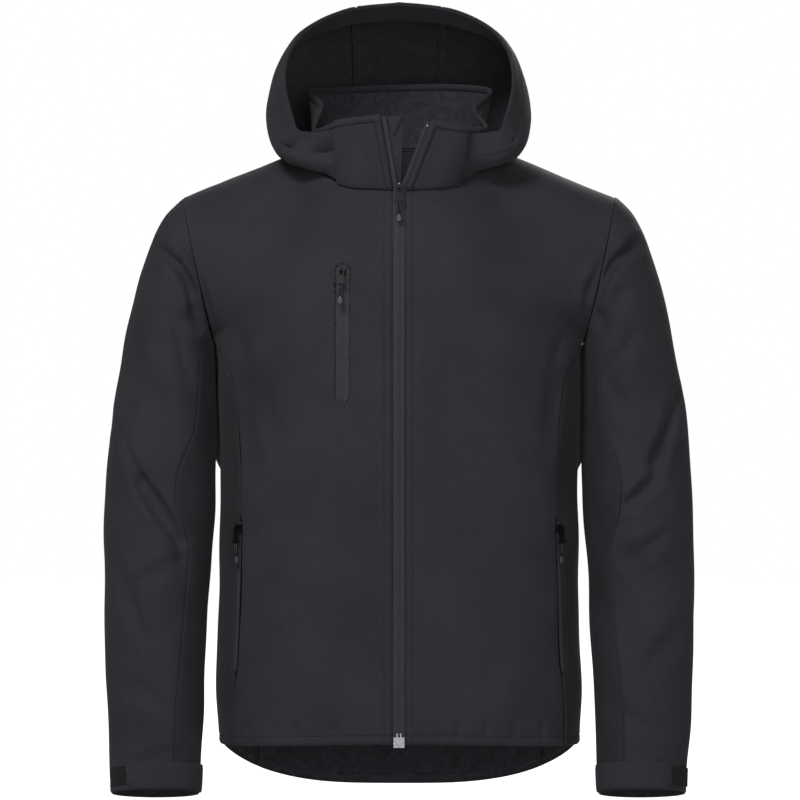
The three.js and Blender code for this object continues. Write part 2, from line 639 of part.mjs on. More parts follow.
for (const [name, side] of SIDES) {
  const first = side === RIGHT ? -HOOD_CENTRE_COLUMNS - HOOD_COLUMNS : HOOD_CENTRE_COLUMNS;
  const points = grid(HOOD_ROWS, HOOD_COLUMNS, (u, k) => (
    hoodGridAt(Math.round(u * HOOD_ROWS), first + Math.round(k * HOOD_COLUMNS))));
  addPanel(`hood_${name}`, points, { middle: hoodMiddle, material: SHELL });
}
addPanel('hood_centre', grid(HOOD_ROWS, 2 * HOOD_CENTRE_COLUMNS, (u, k) => (
  hoodGridAt(Math.round(u * HOOD_ROWS), Math.round((2 * k - 1) * HOOD_CENTRE_COLUMNS)))),
{ middle: hoodMiddle, material: SHELL });

// The facing follows the rim inside the hood, to just short of the tabs
const FACING_COLUMNS = HOOD_CENTRE_COLUMNS + HOOD_COLUMNS - 2;
addPanel('hood_facing', grid(1, 2 * FACING_COLUMNS, (u, k) => (
  hoodGridAt(HOOD_ROWS - 1 + Math.round(u), Math.round((2 * k - 1) * FACING_COLUMNS)))),
{ middle: hoodMiddle, material: SHELL, thick: TRIM, lift: () => -CLOTH - SEAM_GAP });

// Main zip: each tape follows its front edge, then its side of the open collar
const TAPE_LOW_ROWS = 14;
const TAPE_HIGH_ROWS = 4;
const TAPE_SHOWN = 6.3;         // between the open collar's edge and the tape's own edge
const TAPE_BEHIND = 0.6;        // behind the fronts, and further behind the collar
const TAPE_BEHIND_COLLAR = 1.4;
const TAPE_GAP = 0.15;          // from the tape to the front's edge, and to the collar's
const TAPE_GAP_COLLAR = 1.6;
for (const [name, side] of SIDES) {
  const points = grid(TAPE_LOW_ROWS + TAPE_HIGH_ROWS, 1, (u, k) => {
    const row = Math.round(u * (TAPE_LOW_ROWS + TAPE_HIGH_ROWS));
    const high = row > TAPE_LOW_ROWS;
    const edge = high
      ? collarAt(side, 0, (row - TAPE_LOW_ROWS) / TAPE_HIGH_ROWS * 0.97)
      : panelAt(side, -1, 0, 0.004 + 1.996 * row / TAPE_LOW_ROWS);
    const gap = row < TAPE_LOW_ROWS ? TAPE_GAP : TAPE_GAP_COLLAR;
    const outer = edge.clone().add(point(-side * gap, TAPE_BEHIND, 0));
    const inX = Math.max(Math.abs(edge.x) - (high ? TAPE_SHOWN : ZIP_HALF), 0);
    const inner = point(side * inX, edge.y + (high ? TAPE_BEHIND_COLLAR : TAPE_BEHIND), edge.z);
    return inner.lerp(outer, k);
  });
  addPanel(`zip_tape_${name}`, points, { middle: (p) => point(0, 0, p.z), material: TAPE, thick: TRIM });
}

// Wind flap behind the open zip, and the folded guard on its top
const FLAP = { behind: 4.6, tuck: 5, footX: 2, topX: 5, foot: -0.14, top: 0.96 };
const GUARD = { x: -5.5, foot: 0.72, top: 0.98, footHalf: 1.5, topHalf: 9.5, ahead: 2.2, bow: 0.8 };
const flapAt = (h, k) => {
  const edge = h < 0 ? panelAt(RIGHT, -1, 0, 2 + h) : collarAt(RIGHT, 0, h);
  const reach = lerp(FLAP.footX, FLAP.topX, Math.max(h, 0));
  return point(lerp(edge.x - FLAP.tuck, reach, k), edge.y + FLAP.behind, edge.z);
};
addPanel('wind_flap', grid(6, 3, (u, k) => flapAt(lerp(FLAP.foot, FLAP.top, u), k)),
  { middle: bodyAxis, material: SHELL, thick: 1.6 });
addPanel('chin_guard', grid(3, 3, (u, k) => {
  const p = flapAt(lerp(GUARD.foot, GUARD.top, u), 0.5);
  const reach = lerp(GUARD.footHalf, GUARD.topHalf, u);
  return point(GUARD.x + (2 * k - 1) * reach, p.y - GUARD.ahead - GUARD.bow * Math.sin(Math.PI * k), p.z);
}), { middle: bodyAxis, material: SHELL, thick: 1.4 });

// Pocket zips
for (const [name, side] of SIDES) {
  const heights = Array.from({ length: LOWER_ROWS + 1 }, (_, i) => panelSeam(side, -1, i / LOWER_ROWS).z);
  const open = heights.filter((z) => pocketGape(z) > 0);
  const rows = [POCKET_FOOT + 2, ...open, POCKET_TOP - 2];
  const step = heights[1] - heights[0];
  const points = grid(rows.length - 1, 1, (u, k) => {
    const z = rows[Math.round(u * (rows.length - 1))];
    const beyond = Math.max(open[0] - z, z - open[open.length - 1], 0);
    const half = POCKET_HALF * (1 - beyond / step) - SEAM_GAP;
    return bodyAt(side, readTable(SEAMS, 'z', z).front + (2 * k - 1) * half / TURN_LENGTH, z);
  });
  addPanel(`pocket_zip_${name}`, points,
    { middle: bodyAxis, material: TAPE, thick: TRIM, lift: () => -0.6 });
}
addPanel('chest_zip', grid(16, 2, (u, k) => {
  const z = lerp(CHEST_ZIP.foot + 0.3, CHEST_ZIP.top - 0.3, u);
  const toEnd = Math.min(z - CHEST_ZIP.foot, CHEST_ZIP.top - z);
  const short = Math.max(CHEST_ZIP.half - toEnd, 0);
  const half = Math.sqrt(CHEST_ZIP.half ** 2 - short ** 2) - 0.2;
  return frontAt(RIGHT, -(CHEST_ZIP.x + (2 * k - 1) * half), z);
}), { middle: bodyAxis, material: TAPE, thick: TRIM, lift: () => -0.6 });

for (const panel of panels) {
  let geometry = wallGeometry(panel);
  if (panel.cut) geometry = toGeometry(toSolid(geometry).subtract(toSolid(panel.cut())));
  const mesh = new THREE.Mesh(geometry, panel.material);
  mesh.name = panel.name;
  jacket.add(mesh);
}

// Sliders and pulls. Local axes on the cloth: -Y out, +Z up along the zip.
const SLIDER = { wide: 8.4, high: 9.6, thick: 2.5, off: 0.5 };
const ARCH = { out: 5.4, radius: 2.6, hole: 1.5, wide: 2.2 };
const LINK = { wide: 6.8, long: 15, thick: 1.4, slotWide: 4, slotLong: 5.3 };
const CROSSBAR = { wide: 11, high: 3, thick: 2.4 };
const GRIP_SIZE = { long: 23, neck: 2.1, end: 3.3, endLong: 8, thick: 2.2 };

function placed(geometry, xAxis, yAxis, zAxis) {
  geometry.applyMatrix4(new THREE.Matrix4().makeBasis(xAxis, yAxis, zAxis));
  return geometry;
}

function boxAt(wide, thick, high, y, z) {
  const geometry = new THREE.BoxGeometry(wide, thick, high);
  geometry.translate(0, y, z);
  return geometry;
}

function sliderGeometry() {
  const { radius, hole, out, wide } = ARCH;
  const arch = new THREE.Shape();
  arch.moveTo(SLIDER.off + 1, -radius);
  arch.lineTo(out, -radius);
  arch.absarc(out, 0, radius, -Math.PI / 2, Math.PI / 2);
  arch.lineTo(SLIDER.off + 1, radius);
  arch.closePath();
  arch.holes.push(new THREE.Path().absarc(out, 0, hole, 0, 2 * Math.PI, true));
  const loop = new THREE.ExtrudeGeometry(arch, { depth: wide, bevelEnabled: false, curveSegments: 6 });
  loop.translate(0, 0, -wide / 2);
  placed(loop, point(0, -1, 0), point(0, 0, 1), point(-1, 0, 0));
  const block = boxAt(SLIDER.wide, SLIDER.thick, SLIDER.high, -SLIDER.off - SLIDER.thick / 2, 0);
  return joined(block, loop);
}

function linkGeometry() {
  const half = LINK.thick / 2;
  const plate = new THREE.Shape();
  plate.moveTo(-LINK.wide / 2, half);
  plate.lineTo(-LINK.wide / 2, -LINK.long);
  plate.lineTo(LINK.wide / 2, -LINK.long);
  plate.lineTo(LINK.wide / 2, half);
  plate.closePath();
  const slot = new THREE.Path();
  slot.moveTo(-LINK.slotWide / 2, -half);
  slot.lineTo(LINK.slotWide / 2, -half);
  slot.lineTo(LINK.slotWide / 2, -half - LINK.slotLong);
  slot.lineTo(-LINK.slotWide / 2, -half - LINK.slotLong);
  slot.closePath();
  plate.holes.push(slot);
  const flat = new THREE.ExtrudeGeometry(plate, { depth: LINK.thick, bevelEnabled: false });
  flat.translate(0, 0, -half);
  placed(flat, point(1, 0, 0), point(0, 0, 1), point(0, -1, 0));
  const bar = boxAt(CROSSBAR.wide, CROSSBAR.thick, CROSSBAR.high, 0, -LINK.long);
  return joined(flat, bar);
}

function gripGeometry() {
  const { long, neck, end, endLong, thick } = GRIP_SIZE;
  const top = -LINK.long - CROSSBAR.high / 2 - SEAM_GAP;
  const outline = new THREE.Shape();
  outline.moveTo(-neck, top);
  outline.lineTo(-neck, top - long + endLong);
  outline.lineTo(-end, top - long + endLong - 1);
  outline.absarc(0, top - long + end, end, Math.PI, 2 * Math.PI);
  outline.lineTo(end, top - long + endLong - 1);
  outline.lineTo(neck, top - long + endLong);
  outline.lineTo(neck, top);
  outline.closePath();
  const geometry = new THREE.ExtrudeGeometry(outline, { depth: thick, bevelEnabled: false, curveSegments: 5 });
  geometry.translate(0, 0, -thick / 2);
  return placed(geometry, point(1, 0, 0), point(0, 0, 1), point(0, -1, 0));
}

// Seats a slider and its hanging pull on the cloth at a point that faces outward
function addZipPull(name, seat, outward, lean) {
  const holder = new THREE.Group();
  holder.position.copy(seat);
  holder.rotation.order = 'ZXY';
  holder.rotation.set(degToRad(-lean), 0, Math.atan2(outward.x, -outward.y));
  const slider = new THREE.Mesh(sliderGeometry(), BLACK_METAL);
  slider.name = `slider_${name}`;
  const link = new THREE.Mesh(linkGeometry(), BLACK_METAL);
  link.name = `pull_${name}_link`;
  const grip = new THREE.Mesh(gripGeometry(), GRIP);
  grip.name = `pull_${name}_grip`;
  link.position.y = -ARCH.out;
  grip.position.y = -ARCH.out;
  holder.add(slider, link, grip);
  jacket.add(holder);
}

const MAIN_SLIDER_Z = -46;
const CHEST_SLIDER_Z = -141;
const POCKET_SLIDER_Z = -434;
const neckEdge = frontAt(LEFT, ZIP_HALF, -48);
addZipPull('main', point(0, neckEdge.y - 0.2, MAIN_SLIDER_Z), point(0, -1, 0), 8);

const chestSeat = frontAt(RIGHT, -CHEST_ZIP.x, CHEST_SLIDER_Z);
addZipPull('chest', chestSeat, point(-0.2, -1, 0), 14);

for (const [name, side] of SIDES) {
  const turn = readTable(SEAMS, 'z', POCKET_SLIDER_Z).front;
  const seat = bodyAt(side, turn, POCKET_SLIDER_Z);
  const along = bodyAt(side, turn + 0.01, POCKET_SLIDER_Z).sub(bodyAt(side, turn - 0.01, POCKET_SLIDER_Z));
  addZipPull(`pocket_${name}`, seat, point(side * along.y, -side * along.x, 0), 0);
}

// The box and pin at the zip's foot
const zipFoot = panelAt(LEFT, -1, 0, 0.015);
const ZIP_BOX = { wide: 12.4, thick: 2.4, high: 11.6, below: 3.6 };
const ZIP_PIN = { size: 1.6, high: 5, apart: 4, above: 4.2 };
const boxBlock = boxAt(ZIP_BOX.wide, ZIP_BOX.thick, ZIP_BOX.high, zipFoot.y - 1.1, zipFoot.z - ZIP_BOX.below);
const pinPair = [-ZIP_PIN.apart / 2, ZIP_PIN.apart / 2].map((x) => {
  const pin = boxAt(ZIP_PIN.size, ZIP_PIN.size, ZIP_PIN.high, zipFoot.y - 0.9, zipFoot.z + ZIP_PIN.above);
  pin.translate(x, 0, 0);
  return pin;
});
const zipBox = new THREE.Mesh(joined(boxBlock, ...pinPair), STEEL);
zipBox.name = 'zip_box';
jacket.add(zipBox);

export default jacket;
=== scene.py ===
# The hooded softshell jacket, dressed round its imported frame.
# Lengths in the tables are millimetres in the frame's axes: +Z up, -Y front, +X the wearer's left.
import math

import bmesh
import bpy
import numpy as np
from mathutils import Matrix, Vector


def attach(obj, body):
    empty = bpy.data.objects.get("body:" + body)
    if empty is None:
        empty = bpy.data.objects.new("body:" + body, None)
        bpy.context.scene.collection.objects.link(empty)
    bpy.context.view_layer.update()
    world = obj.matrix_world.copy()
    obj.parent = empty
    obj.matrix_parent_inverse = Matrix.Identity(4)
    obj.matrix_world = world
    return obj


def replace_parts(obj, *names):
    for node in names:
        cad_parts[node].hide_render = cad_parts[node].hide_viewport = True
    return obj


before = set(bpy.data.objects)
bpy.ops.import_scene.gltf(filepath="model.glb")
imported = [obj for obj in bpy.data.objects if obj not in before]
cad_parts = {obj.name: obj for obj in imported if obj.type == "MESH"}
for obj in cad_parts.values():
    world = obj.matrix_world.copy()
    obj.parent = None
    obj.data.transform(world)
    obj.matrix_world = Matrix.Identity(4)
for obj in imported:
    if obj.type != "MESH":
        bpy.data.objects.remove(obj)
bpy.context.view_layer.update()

MM = 0.001
RIGHT, LEFT = -1, 1
SIDES = (("right", RIGHT), ("left", LEFT))

# Camera and light

PHOTO_SIZE = 800
MM_PER_PIXEL = 1.17              # at the side seams
NECK_PIXEL_Y = 155               # the origin's height in the photograph
MIDDLE_PIXEL_X = 399
CAMERA_BACK = 4.0
SENSOR_MM = 36.0


def add_camera():
    view_width = PHOTO_SIZE * MM_PER_PIXEL * MM
    data = bpy.data.cameras.new("camera")
    data.sensor_width = SENSOR_MM
    data.lens = SENSOR_MM * CAMERA_BACK / view_width
    camera = bpy.data.objects.new("camera", data)
    half = PHOTO_SIZE / 2
    camera.location = ((half - MIDDLE_PIXEL_X) * MM_PER_PIXEL * MM, -CAMERA_BACK,
                       (NECK_PIXEL_Y - half) * MM_PER_PIXEL * MM)
    camera.rotation_euler = (math.pi / 2, 0, 0)
    bpy.context.scene.collection.objects.link(camera)
    bpy.context.scene.camera = camera


def add_area_light(name, place, aim, size, watts):
    data = bpy.data.lights.new(name, "AREA")
    data.shape = "RECTANGLE"
    data.size, data.size_y = size
    data.energy = watts
    light = bpy.data.objects.new(name, data)
    light.location = place
    light.rotation_euler = (Vector(aim) - Vector(place)).to_track_quat("-Z", "Y").to_euler()
    bpy.context.scene.collection.objects.link(light)


FLOOR_Z = -0.86
LIGHTS = (
    ("key", (-1.1, -2.3, 2.2), (1.0, 0.8), 58),
    ("front", (0.4, -3.6, 0.1), (1.6, 1.6), 42),
    ("back", (0.6, 3.0, 1.8), (1.6, 1.6), 95),
)
ROOM_LIGHT = 0.08                # what the white room gives the cloth; the camera sees it as plain white


def white_to_camera(tree, strength):
    """The camera sees plain white, and everything else gets the room's soft light."""
    seen = tree.nodes.new("ShaderNodeLightPath").outputs["Is Camera Ray"]
    chosen = tree.nodes.new("ShaderNodeMapRange")
    chosen.inputs["To Min"].default_value = ROOM_LIGHT
    chosen.inputs["To Max"].default_value = 1.0
    tree.links.new(seen, chosen.inputs["Value"])
    tree.links.new(chosen.outputs["Result"], strength)


def add_studio():
    world = bpy.data.worlds.new("studio")
    world.use_nodes = True
    background = world.node_tree.nodes["Background"]
    background.inputs["Color"].default_value = (1.0, 1.0, 1.0, 1.0)
    white_to_camera(world.node_tree, background.inputs["Strength"])
    bpy.context.scene.world = world
    bpy.context.scene.view_settings.view_transform = "Standard"
    for name, place, size, watts in LIGHTS:
        add_area_light(name, place, (0, 0, -0.3), size, watts)
    bpy.ops.mesh.primitive_plane_add(size=14, location=(0, 0, FLOOR_Z))
    floor = bpy.context.object
    floor.name = "floor"
    material = bpy.data.materials.new("floor")
    material.use_nodes = True
    shader = material.node_tree.nodes["Principled BSDF"]
    shader.inputs["Base Color"].default_value = (0.4, 0.4, 0.4, 1)
    shader.inputs["Roughness"].default_value = 0.95
    shader.inputs["Emission Color"].default_value = (1, 1, 1, 1)
    white_to_camera(material.node_tree, shader.inputs["Emission Strength"])
    floor.data.materials.append(material)


# The jacket's sizes

CLOTH = 2.0
TRIM = 1.2
SQUARE = 2.35                    # how square the body's section is
HEM_FRONT, HEM_SIDE, TAIL_DROP = -677, -686, 64
CHEST = -240
ZIP_HALF = 7.5
POCKET_TOP, POCKET_FOOT, POCKET_HALF = -425, -600, 4
CHEST_ZIP = {"x": -64, "top": -133, "foot": -289, "half": 8}
TURN_LENGTH = 575                # cloth from centre front to centre back
HOOD_LIFT = 3.0
HOOD_FOOT = {"out": 3.4, "up": 1.6}
HOOD_TUCK = {"ribs": (0.42, 0.95), "rise": (0.03, 0.87)}    # the hood's end lies on the collar
TAB_END = {RIGHT: 1.9, LEFT: 1.8}
NECK_SHOULDER, NECK_BACK = 4, 7
HOOD_SEAM, HOOD_RIBS, FACING = 6.15, 7, 28
LAST_RING, BACK_SEAM, SEAM_RING = 15, 235, 155


def table(columns, *rows):
    numbers = np.array(rows, float)
    return {name: numbers[:, i] for i, name in enumerate(columns.split())}


BODY = table("z half front back",
             (-760, 210, 132, 136), (-681, 211.5, 133, 134), (-625, 213.5, 134, 130),
             (-544, 211, 136, 123), (-450, 209, 139, 117), (-369, 209, 143, 121),
             (-300, 210, 146, 129), (-214, 212, 145, 135))

SEAMS = table("z front back",
              (-760, 0.349, 0.72), (-681, 0.345, 0.72), (-600, 0.334, 0.715), (-462, 0.328, 0.71),
              (-369, 0.324, 0.70), (-292, 0.338, 0.67), (-256, 0.36, 0.64), (-240, 0.393, 0.607))

NECK = table("at x y z",
             (0, ZIP_HALF, -121, -48), (1, 40, -113, -45), (2, 70, -96, -37), (3, 95, -58, -18),
             (4, 104, 0, 10), (5, 88, 48, 15), (6, 48, 77, 14), (7, 0, 86, 13))

COLLAR = {
    RIGHT: table("at x y z",
                 (0, 22, -128, 37), (1, 48, -121, 34), (2, 73, -108, 30), (3, 98, -72, 25),
                 (4, 90, -20, 58), (5, 106, 22, 78), (6, 60, 64, 86), (7, 0, 80, 90)),
    LEFT: table("at x y z",
                (0, 38, -126, 31), (1, 60, -117, 27), (2, 80, -104, 25), (3, 101, -70, 29),
                (4, 87, -20, 54), (5, 109, 22, 79), (6, 62, 64, 89), (7, 0, 80, 90)),
}

HOOD = table("rib neck x y z lowX lowY lowZ highX highY highZ",
             (0, 1.65, 64, -112, 19, 2, -4, 18, 1, -1, -18),
             (1, 2.6, 112, -95, 20, 44, -12, 0, 24, 14, -8),
             (2, 3.3, 124, -87, 41, 58, 6, -8, 34, 40, -6),
             (3, 4, 133, -74, 78, 66, 40, -6, 26, 70, 8),
             (4, 4.7, 127, -58, 118, 62, 90, -22, 22, 92, 14),
             (5, 5.4, 104, -38, 148, 48, 124, -34, 16, 124, 18),
             (6, 6.2, 58, -20, 170, 22, 144, -46, 8, 148, 12),
             (7, 7, 0, -12, 178, 0, 152, -50, 0, 162, 8))

SLEEVE = table("ring outX outZ inX inZ depth fore tilt seam",
               (0, 252, -50, 214, -222, 66, 0, 0, 142), (1, 262, -58, 214.2, -225, 69, 0, 0, 140),
               (2, 275, -73, 214.3, -228, 72, -1, 0, 138), (3, 289, -101, 214.4, -233, 74, -2, 0, 136),
               (4, 302, -140, 214, -245, 74.5, -3, 0, 134), (5, 313, -186, 213.6, -266, 73, -4, 1, 132),
               (6, 324, -240, 213.3, -298, 70, -6, 2, 131), (7, 333, -292, 213.2, -335, 67, -9, 3, 128),
               (8, 339, -346, 213.4, -376, 64, -13, 4, 113), (9, 342, -402, 214.5, -420, 61, -18, 6, 111),
               (10, 343, -462, 218, -468, 57, -23, 8, 128), (11, 342.5, -524, 221, -524, 53, -28, 9, 127),
               (12, 341, -586, 224, -586, 48, -33, 10, 124), (13, 338, -650, 227, -650, 43, -38, 12, 118),
               (14, 334.5, -704, 229, -704, 39, -42, 13, 117), (15, 333, -742, 230, -742, 36, -45, 14, 117))

# Troughs seen from the front (face -1) or the back (face 1), each from one x and z to another
FOLDS = table("side face x0 z0 x1 z1 wide deep",
              (-1, -1, -281, -112, -236, -160, 9, 6), (-1, -1, -295, -380, -252, -447, 10, 5),
              (-1, 1, -290, -125, -240, -170, 10, 6), (-1, 1, -330, -400, -250, -430, 12, 5),
              (1, -1, 275, -108, 238, -142, 8, 6), (1, -1, 256, -166, 232, -196, 9, 5),
              (1, -1, 324, -280, 294, -361, 10, 6), (1, -1, 292, -380, 262, -406, 9, 5),
              (1, 1, 292, -118, 244, -165, 10, 6), (1, 1, 328, -330, 262, -392, 12, 6))


def lerp(a, b, t):
    return a + (b - a) * t


def smooth(x, low, high):
    t = np.clip((np.asarray(x, float) - low) / (high - low), 0, 1)
    return t * t * (3 - 2 * t)


def read(rows, key, at):
    """Every column of a table at the given places, on a smooth curve through its rows."""
    keys = rows[key]
    at = np.asarray(at, float)
    last = len(keys) - 1
    i = np.clip(np.searchsorted(keys, at, side="left") - 1, 0, last - 1)
    before, after = np.maximum(i - 1, 0), np.minimum(i + 2, last)
    span = keys[i + 1] - keys[i]
    t = np.clip((at - keys[i]) / span, 0, 1)
    out = {}
    for name, v in rows.items():
        slope_a = (v[i + 1] - v[before]) * span / (keys[i + 1] - keys[before])
        slope_b = (v[after] - v[i]) * span / (keys[after] - keys[i])
        out[name] = (v[i] * (1 + 2 * t) * (1 - t) ** 2 + slope_a * t * (1 - t) ** 2
                     + v[i + 1] * t * t * (3 - 2 * t) + slope_b * t * t * (t - 1))
    return out


def vec(x, y, z):
    return np.stack(np.broadcast_arrays(np.asarray(x, float), y, z), -1)


def unit(v):
    return v / np.maximum(np.linalg.norm(v, axis=-1, keepdims=True), 1e-9)


def bezier(p0, p1, p2, p3, t):
    t = np.asarray(t, float)[..., None]
    u = 1 - t
    return u ** 3 * p0 + 3 * u * u * t * p1 + 3 * u * t * t * p2 + t ** 3 * p3


def from_segment(p, x0, z0, x1, z1):
    """How far each point is from a segment seen from the front, and how far along it."""
    run_x, run_z = x1 - x0, z1 - z0
    from_x, from_z = p[..., 0] - x0, p[..., 2] - z0
    t = np.clip((from_x * run_x + from_z * run_z) / (run_x ** 2 + run_z ** 2), 0, 1)
    return np.hypot(from_x - t * run_x, from_z - t * run_z), t


def fold_depth(p, face):
    depth = np.zeros(p.shape[:-1])
    for k in range(len(FOLDS["side"])):
        f = {name: column[k] for name, column in FOLDS.items()}
        if f["face"] != face:
            continue
        away, _ = from_segment(p, f["x0"], f["z0"], f["x1"], f["z1"])
        same_side = f["side"] * p[..., 0] >= 0
        depth += same_side * f["deep"] * np.exp(-(away / f["wide"]) ** 2)
    return depth


# The jacket's surfaces

def body_at(side, turn, z):
    size = read(BODY, "z", z)
    angle = np.asarray(turn) * math.pi
    across = np.clip(np.sin(angle), 0, 1) ** (2 / SQUARE)
    along = np.abs(np.cos(angle)) ** (2 / SQUARE)
    y = np.where(np.asarray(turn) < 0.5, -size["front"] * along, size["back"] * along)
    return vec(side * size["half"] * across, y, z)


def hem_at(turn):
    across = np.clip(np.sin(np.asarray(turn) * math.pi), 0, 1) ** (2 / SQUARE)
    front = lerp(HEM_FRONT, HEM_SIDE, across ** 2)
    back = HEM_SIDE - TAIL_DROP * (1 - across ** 3) ** 0.68
    return np.where(np.asarray(turn) < 0.5, front, back)


def edge_turn(z):
    half = read(BODY, "z", z)["half"]
    return np.arcsin((ZIP_HALF / half) ** (SQUARE / 2)) / math.pi


def pocket_gape(z):
    end = 11
    above_foot = smooth(z, POCKET_FOOT - end, POCKET_FOOT + end)
    opening = above_foot * (1 - smooth(z, POCKET_TOP - end, POCKET_TOP + end))
    return opening * POCKET_HALF / TURN_LENGTH


def neck_at(side, at):
    n = read(NECK, "at", at)
    return vec(side * n["x"], n["y"], n["z"])


def sleeve_at(side, ring, degrees):
    r = read(SLEEVE, "ring", ring)
    angle, tilt = np.radians(degrees), np.radians(r["tilt"])
    cos, sin = np.cos(angle), np.sin(angle)
    x = (r["outX"] + r["inX"]) / 2 + (r["outX"] - r["inX"]) / 2 * cos
    z = (r["outZ"] + r["inZ"]) / 2 + (r["outZ"] - r["inZ"]) / 2 * cos + r["depth"] * sin * np.sin(tilt)
    y = r["fore"] - r["depth"] * sin * np.cos(tilt)
    p = vec(side * x, y, z)
    fade = smooth(ring, 0.3, 2)
    p[..., 1] += fade * (np.maximum(sin, 0) * fold_depth(p, -1) - np.maximum(-sin, 0) * fold_depth(p, 1))
    return p


SEAM_SHARE = 0.2                 # the part of the yoke's height where its edge still follows the side seam


def armhole_edge(side, face, w):
    seams = read(SEAMS, "z", CHEST)
    foot = body_at(side, seams["front"] if face < 0 else seams["back"], CHEST)
    top = sleeve_at(side, 0, -face * SEAM_RING)
    w = np.asarray(w, float)
    seam = lerp(foot, top, np.clip(w / SEAM_SHARE, 0, 1)[..., None])
    left = 1 - (w - SEAM_SHARE) / (1 - SEAM_SHARE)
    hole = sleeve_at(side, 0, -face * SEAM_RING * np.clip(left, 0, 1))
    return np.where((w <= SEAM_SHARE)[..., None], seam, hole)


def yoke_at(side, face, s, w):
    seams = read(SEAMS, "z", CHEST)
    turn = lerp(edge_turn(CHEST), seams["front"], s) if face < 0 else lerp(1, seams["back"], s)
    foot = body_at(side, turn, CHEST)
    start = 0 if face < 0 else NECK_BACK
    shoulder = sleeve_at(side, 0, 0)
    on_neck = neck_at(side, lerp(start, NECK_SHOULDER, np.clip(s * 2, 0, 1)))
    on_shoulder = lerp(neck_at(side, NECK_SHOULDER), shoulder, np.clip(s * 2 - 1, 0, 1)[..., None])
    top = np.where((s < 0.5)[..., None], on_neck, on_shoulder)
    roll = smooth(s, 0, 0.55)
    leave = vec(0, lerp(-8, -60, roll), lerp(-62, -12, roll)) if face < 0 \
        else vec(0, lerp(14, 60, roll), lerp(-50, -12, roll))
    rise = vec(0, face * 3, (top[..., 2] - foot[..., 2]) * 0.42)
    p = bezier(foot, foot + rise, top + leave, top, w)
    edge_foot = body_at(side, seams["front"] if face < 0 else seams["back"], CHEST)
    edge_rise = vec(0, face * 3, (shoulder[2] - edge_foot[2]) * 0.42)
    edge = bezier(edge_foot, edge_foot + edge_rise, shoulder + vec(0, face * 60, -12), shoulder, w)
    return p + (armhole_edge(side, face, w) - edge) * (s ** 3)[..., None]


def panel_at(side, face, s, v):
    """A front (face -1) or back (face 1): s from the middle out, v 0 at the hem, 1 chest, 2 top."""
    s, v = np.broadcast_arrays(np.asarray(s, float), np.asarray(v, float))

    def turn_at(height):
        seams = read(SEAMS, "z", height)
        if face > 0:
            return lerp(1, seams["back"], s)
        return lerp(edge_turn(height), seams["front"] - pocket_gape(height), s)

    low = np.clip(v, 0, 1)
    z = lerp(hem_at(0.34 * s if face < 0 else lerp(1, 0.72, s)), CHEST, low)
    z = lerp(hem_at(turn_at(z)), CHEST, low)
    plain = body_at(side, turn_at(z), z)
    yoke = yoke_at(side, face, s, np.clip(v - 1, 0, 1))
    return np.where((v > 1)[..., None], yoke, plain)


YOKE_BLEND = 0.1
BLEND_WEIGHTS = ((-1, 1), (-0.5, 2), (0, 3), (0.5, 2), (1, 1))


def soft_panel_at(side, face, s, v):
    """panel_at with the yoke rounded over below the point where collar and shoulder meet."""
    s, v = np.broadcast_arrays(np.asarray(s, float), np.asarray(v, float))
    spread = YOKE_BLEND * np.sin(math.pi * s)
    total = sum(weight for _, weight in BLEND_WEIGHTS)
    soft = sum(weight * panel_at(side, face, s + step * spread, v) for step, weight in BLEND_WEIGHTS)
    soft = soft / total
    share = smooth(v, 1.0, 1.25) * (1 - smooth(v, 1.8, 2.0))
    return lerp(panel_at(side, face, s, v), soft, share[..., None])


def front_at(side, x, z):
    x, z = np.broadcast_arrays(np.asarray(x, float), np.asarray(z, float))
    s = np.full(x.shape, 0.4)
    v = np.full(x.shape, 1.0)
    for _ in range(60):
        p = soft_panel_at(side, -1, s, v)
        s = np.clip(s + (x - side * p[..., 0]) / 210, 0, 1)
        v = np.clip(v + (z - p[..., 2]) / 460, 0, 2)
    return soft_panel_at(side, -1, s, v)


def side_at(side, k, v):
    """A side panel: k from the front seam to the back seam, v 0 at the hem and 1 at the armhole."""
    k, v = np.broadcast_arrays(np.asarray(k, float), np.asarray(v, float))
    share = 0.94                 # below this the panel follows the body, above it runs into the armhole
    low = np.clip(v / share, 0, 1)

    def turn_at(height):
        seams = read(SEAMS, "z", height)
        return lerp(seams["front"] + pocket_gape(height), seams["back"], k)

    z = lerp(HEM_SIDE, CHEST, low)
    for _ in range(3):
        z = lerp(hem_at(turn_at(z)), CHEST, low)
    foot = body_at(side, turn_at(z), z)
    w = np.clip((v - share) / (1 - share), 0, 1)
    top = sleeve_at(side, 0, lerp(SEAM_RING, 360 - SEAM_RING, k))
    return lerp(foot, top, w[..., None])


def collar_at(side, at, h):
    foot = neck_at(side, at)
    t = read(COLLAR[side], "at", at)
    h = np.asarray(h, float)
    p = lerp(foot, vec(side * t["x"], t["y"], t["z"]), h[..., None])
    out = unit(p * vec(1, 1, 0))
    p = p + out * (4 * np.sin(math.pi * np.clip(h, 0, 1)) * smooth(at, 0, 2))[..., None]
    p[..., 2] += (1 - h) * 0.4
    return p


def collar_normal(side, at, h):
    over = collar_at(side, at + 0.1, h) - collar_at(side, np.maximum(at - 0.1, 0), h)
    up = collar_at(side, at, h + 0.05) - collar_at(side, at, h - 0.05)
    return unit(np.cross(up, over) * -side)


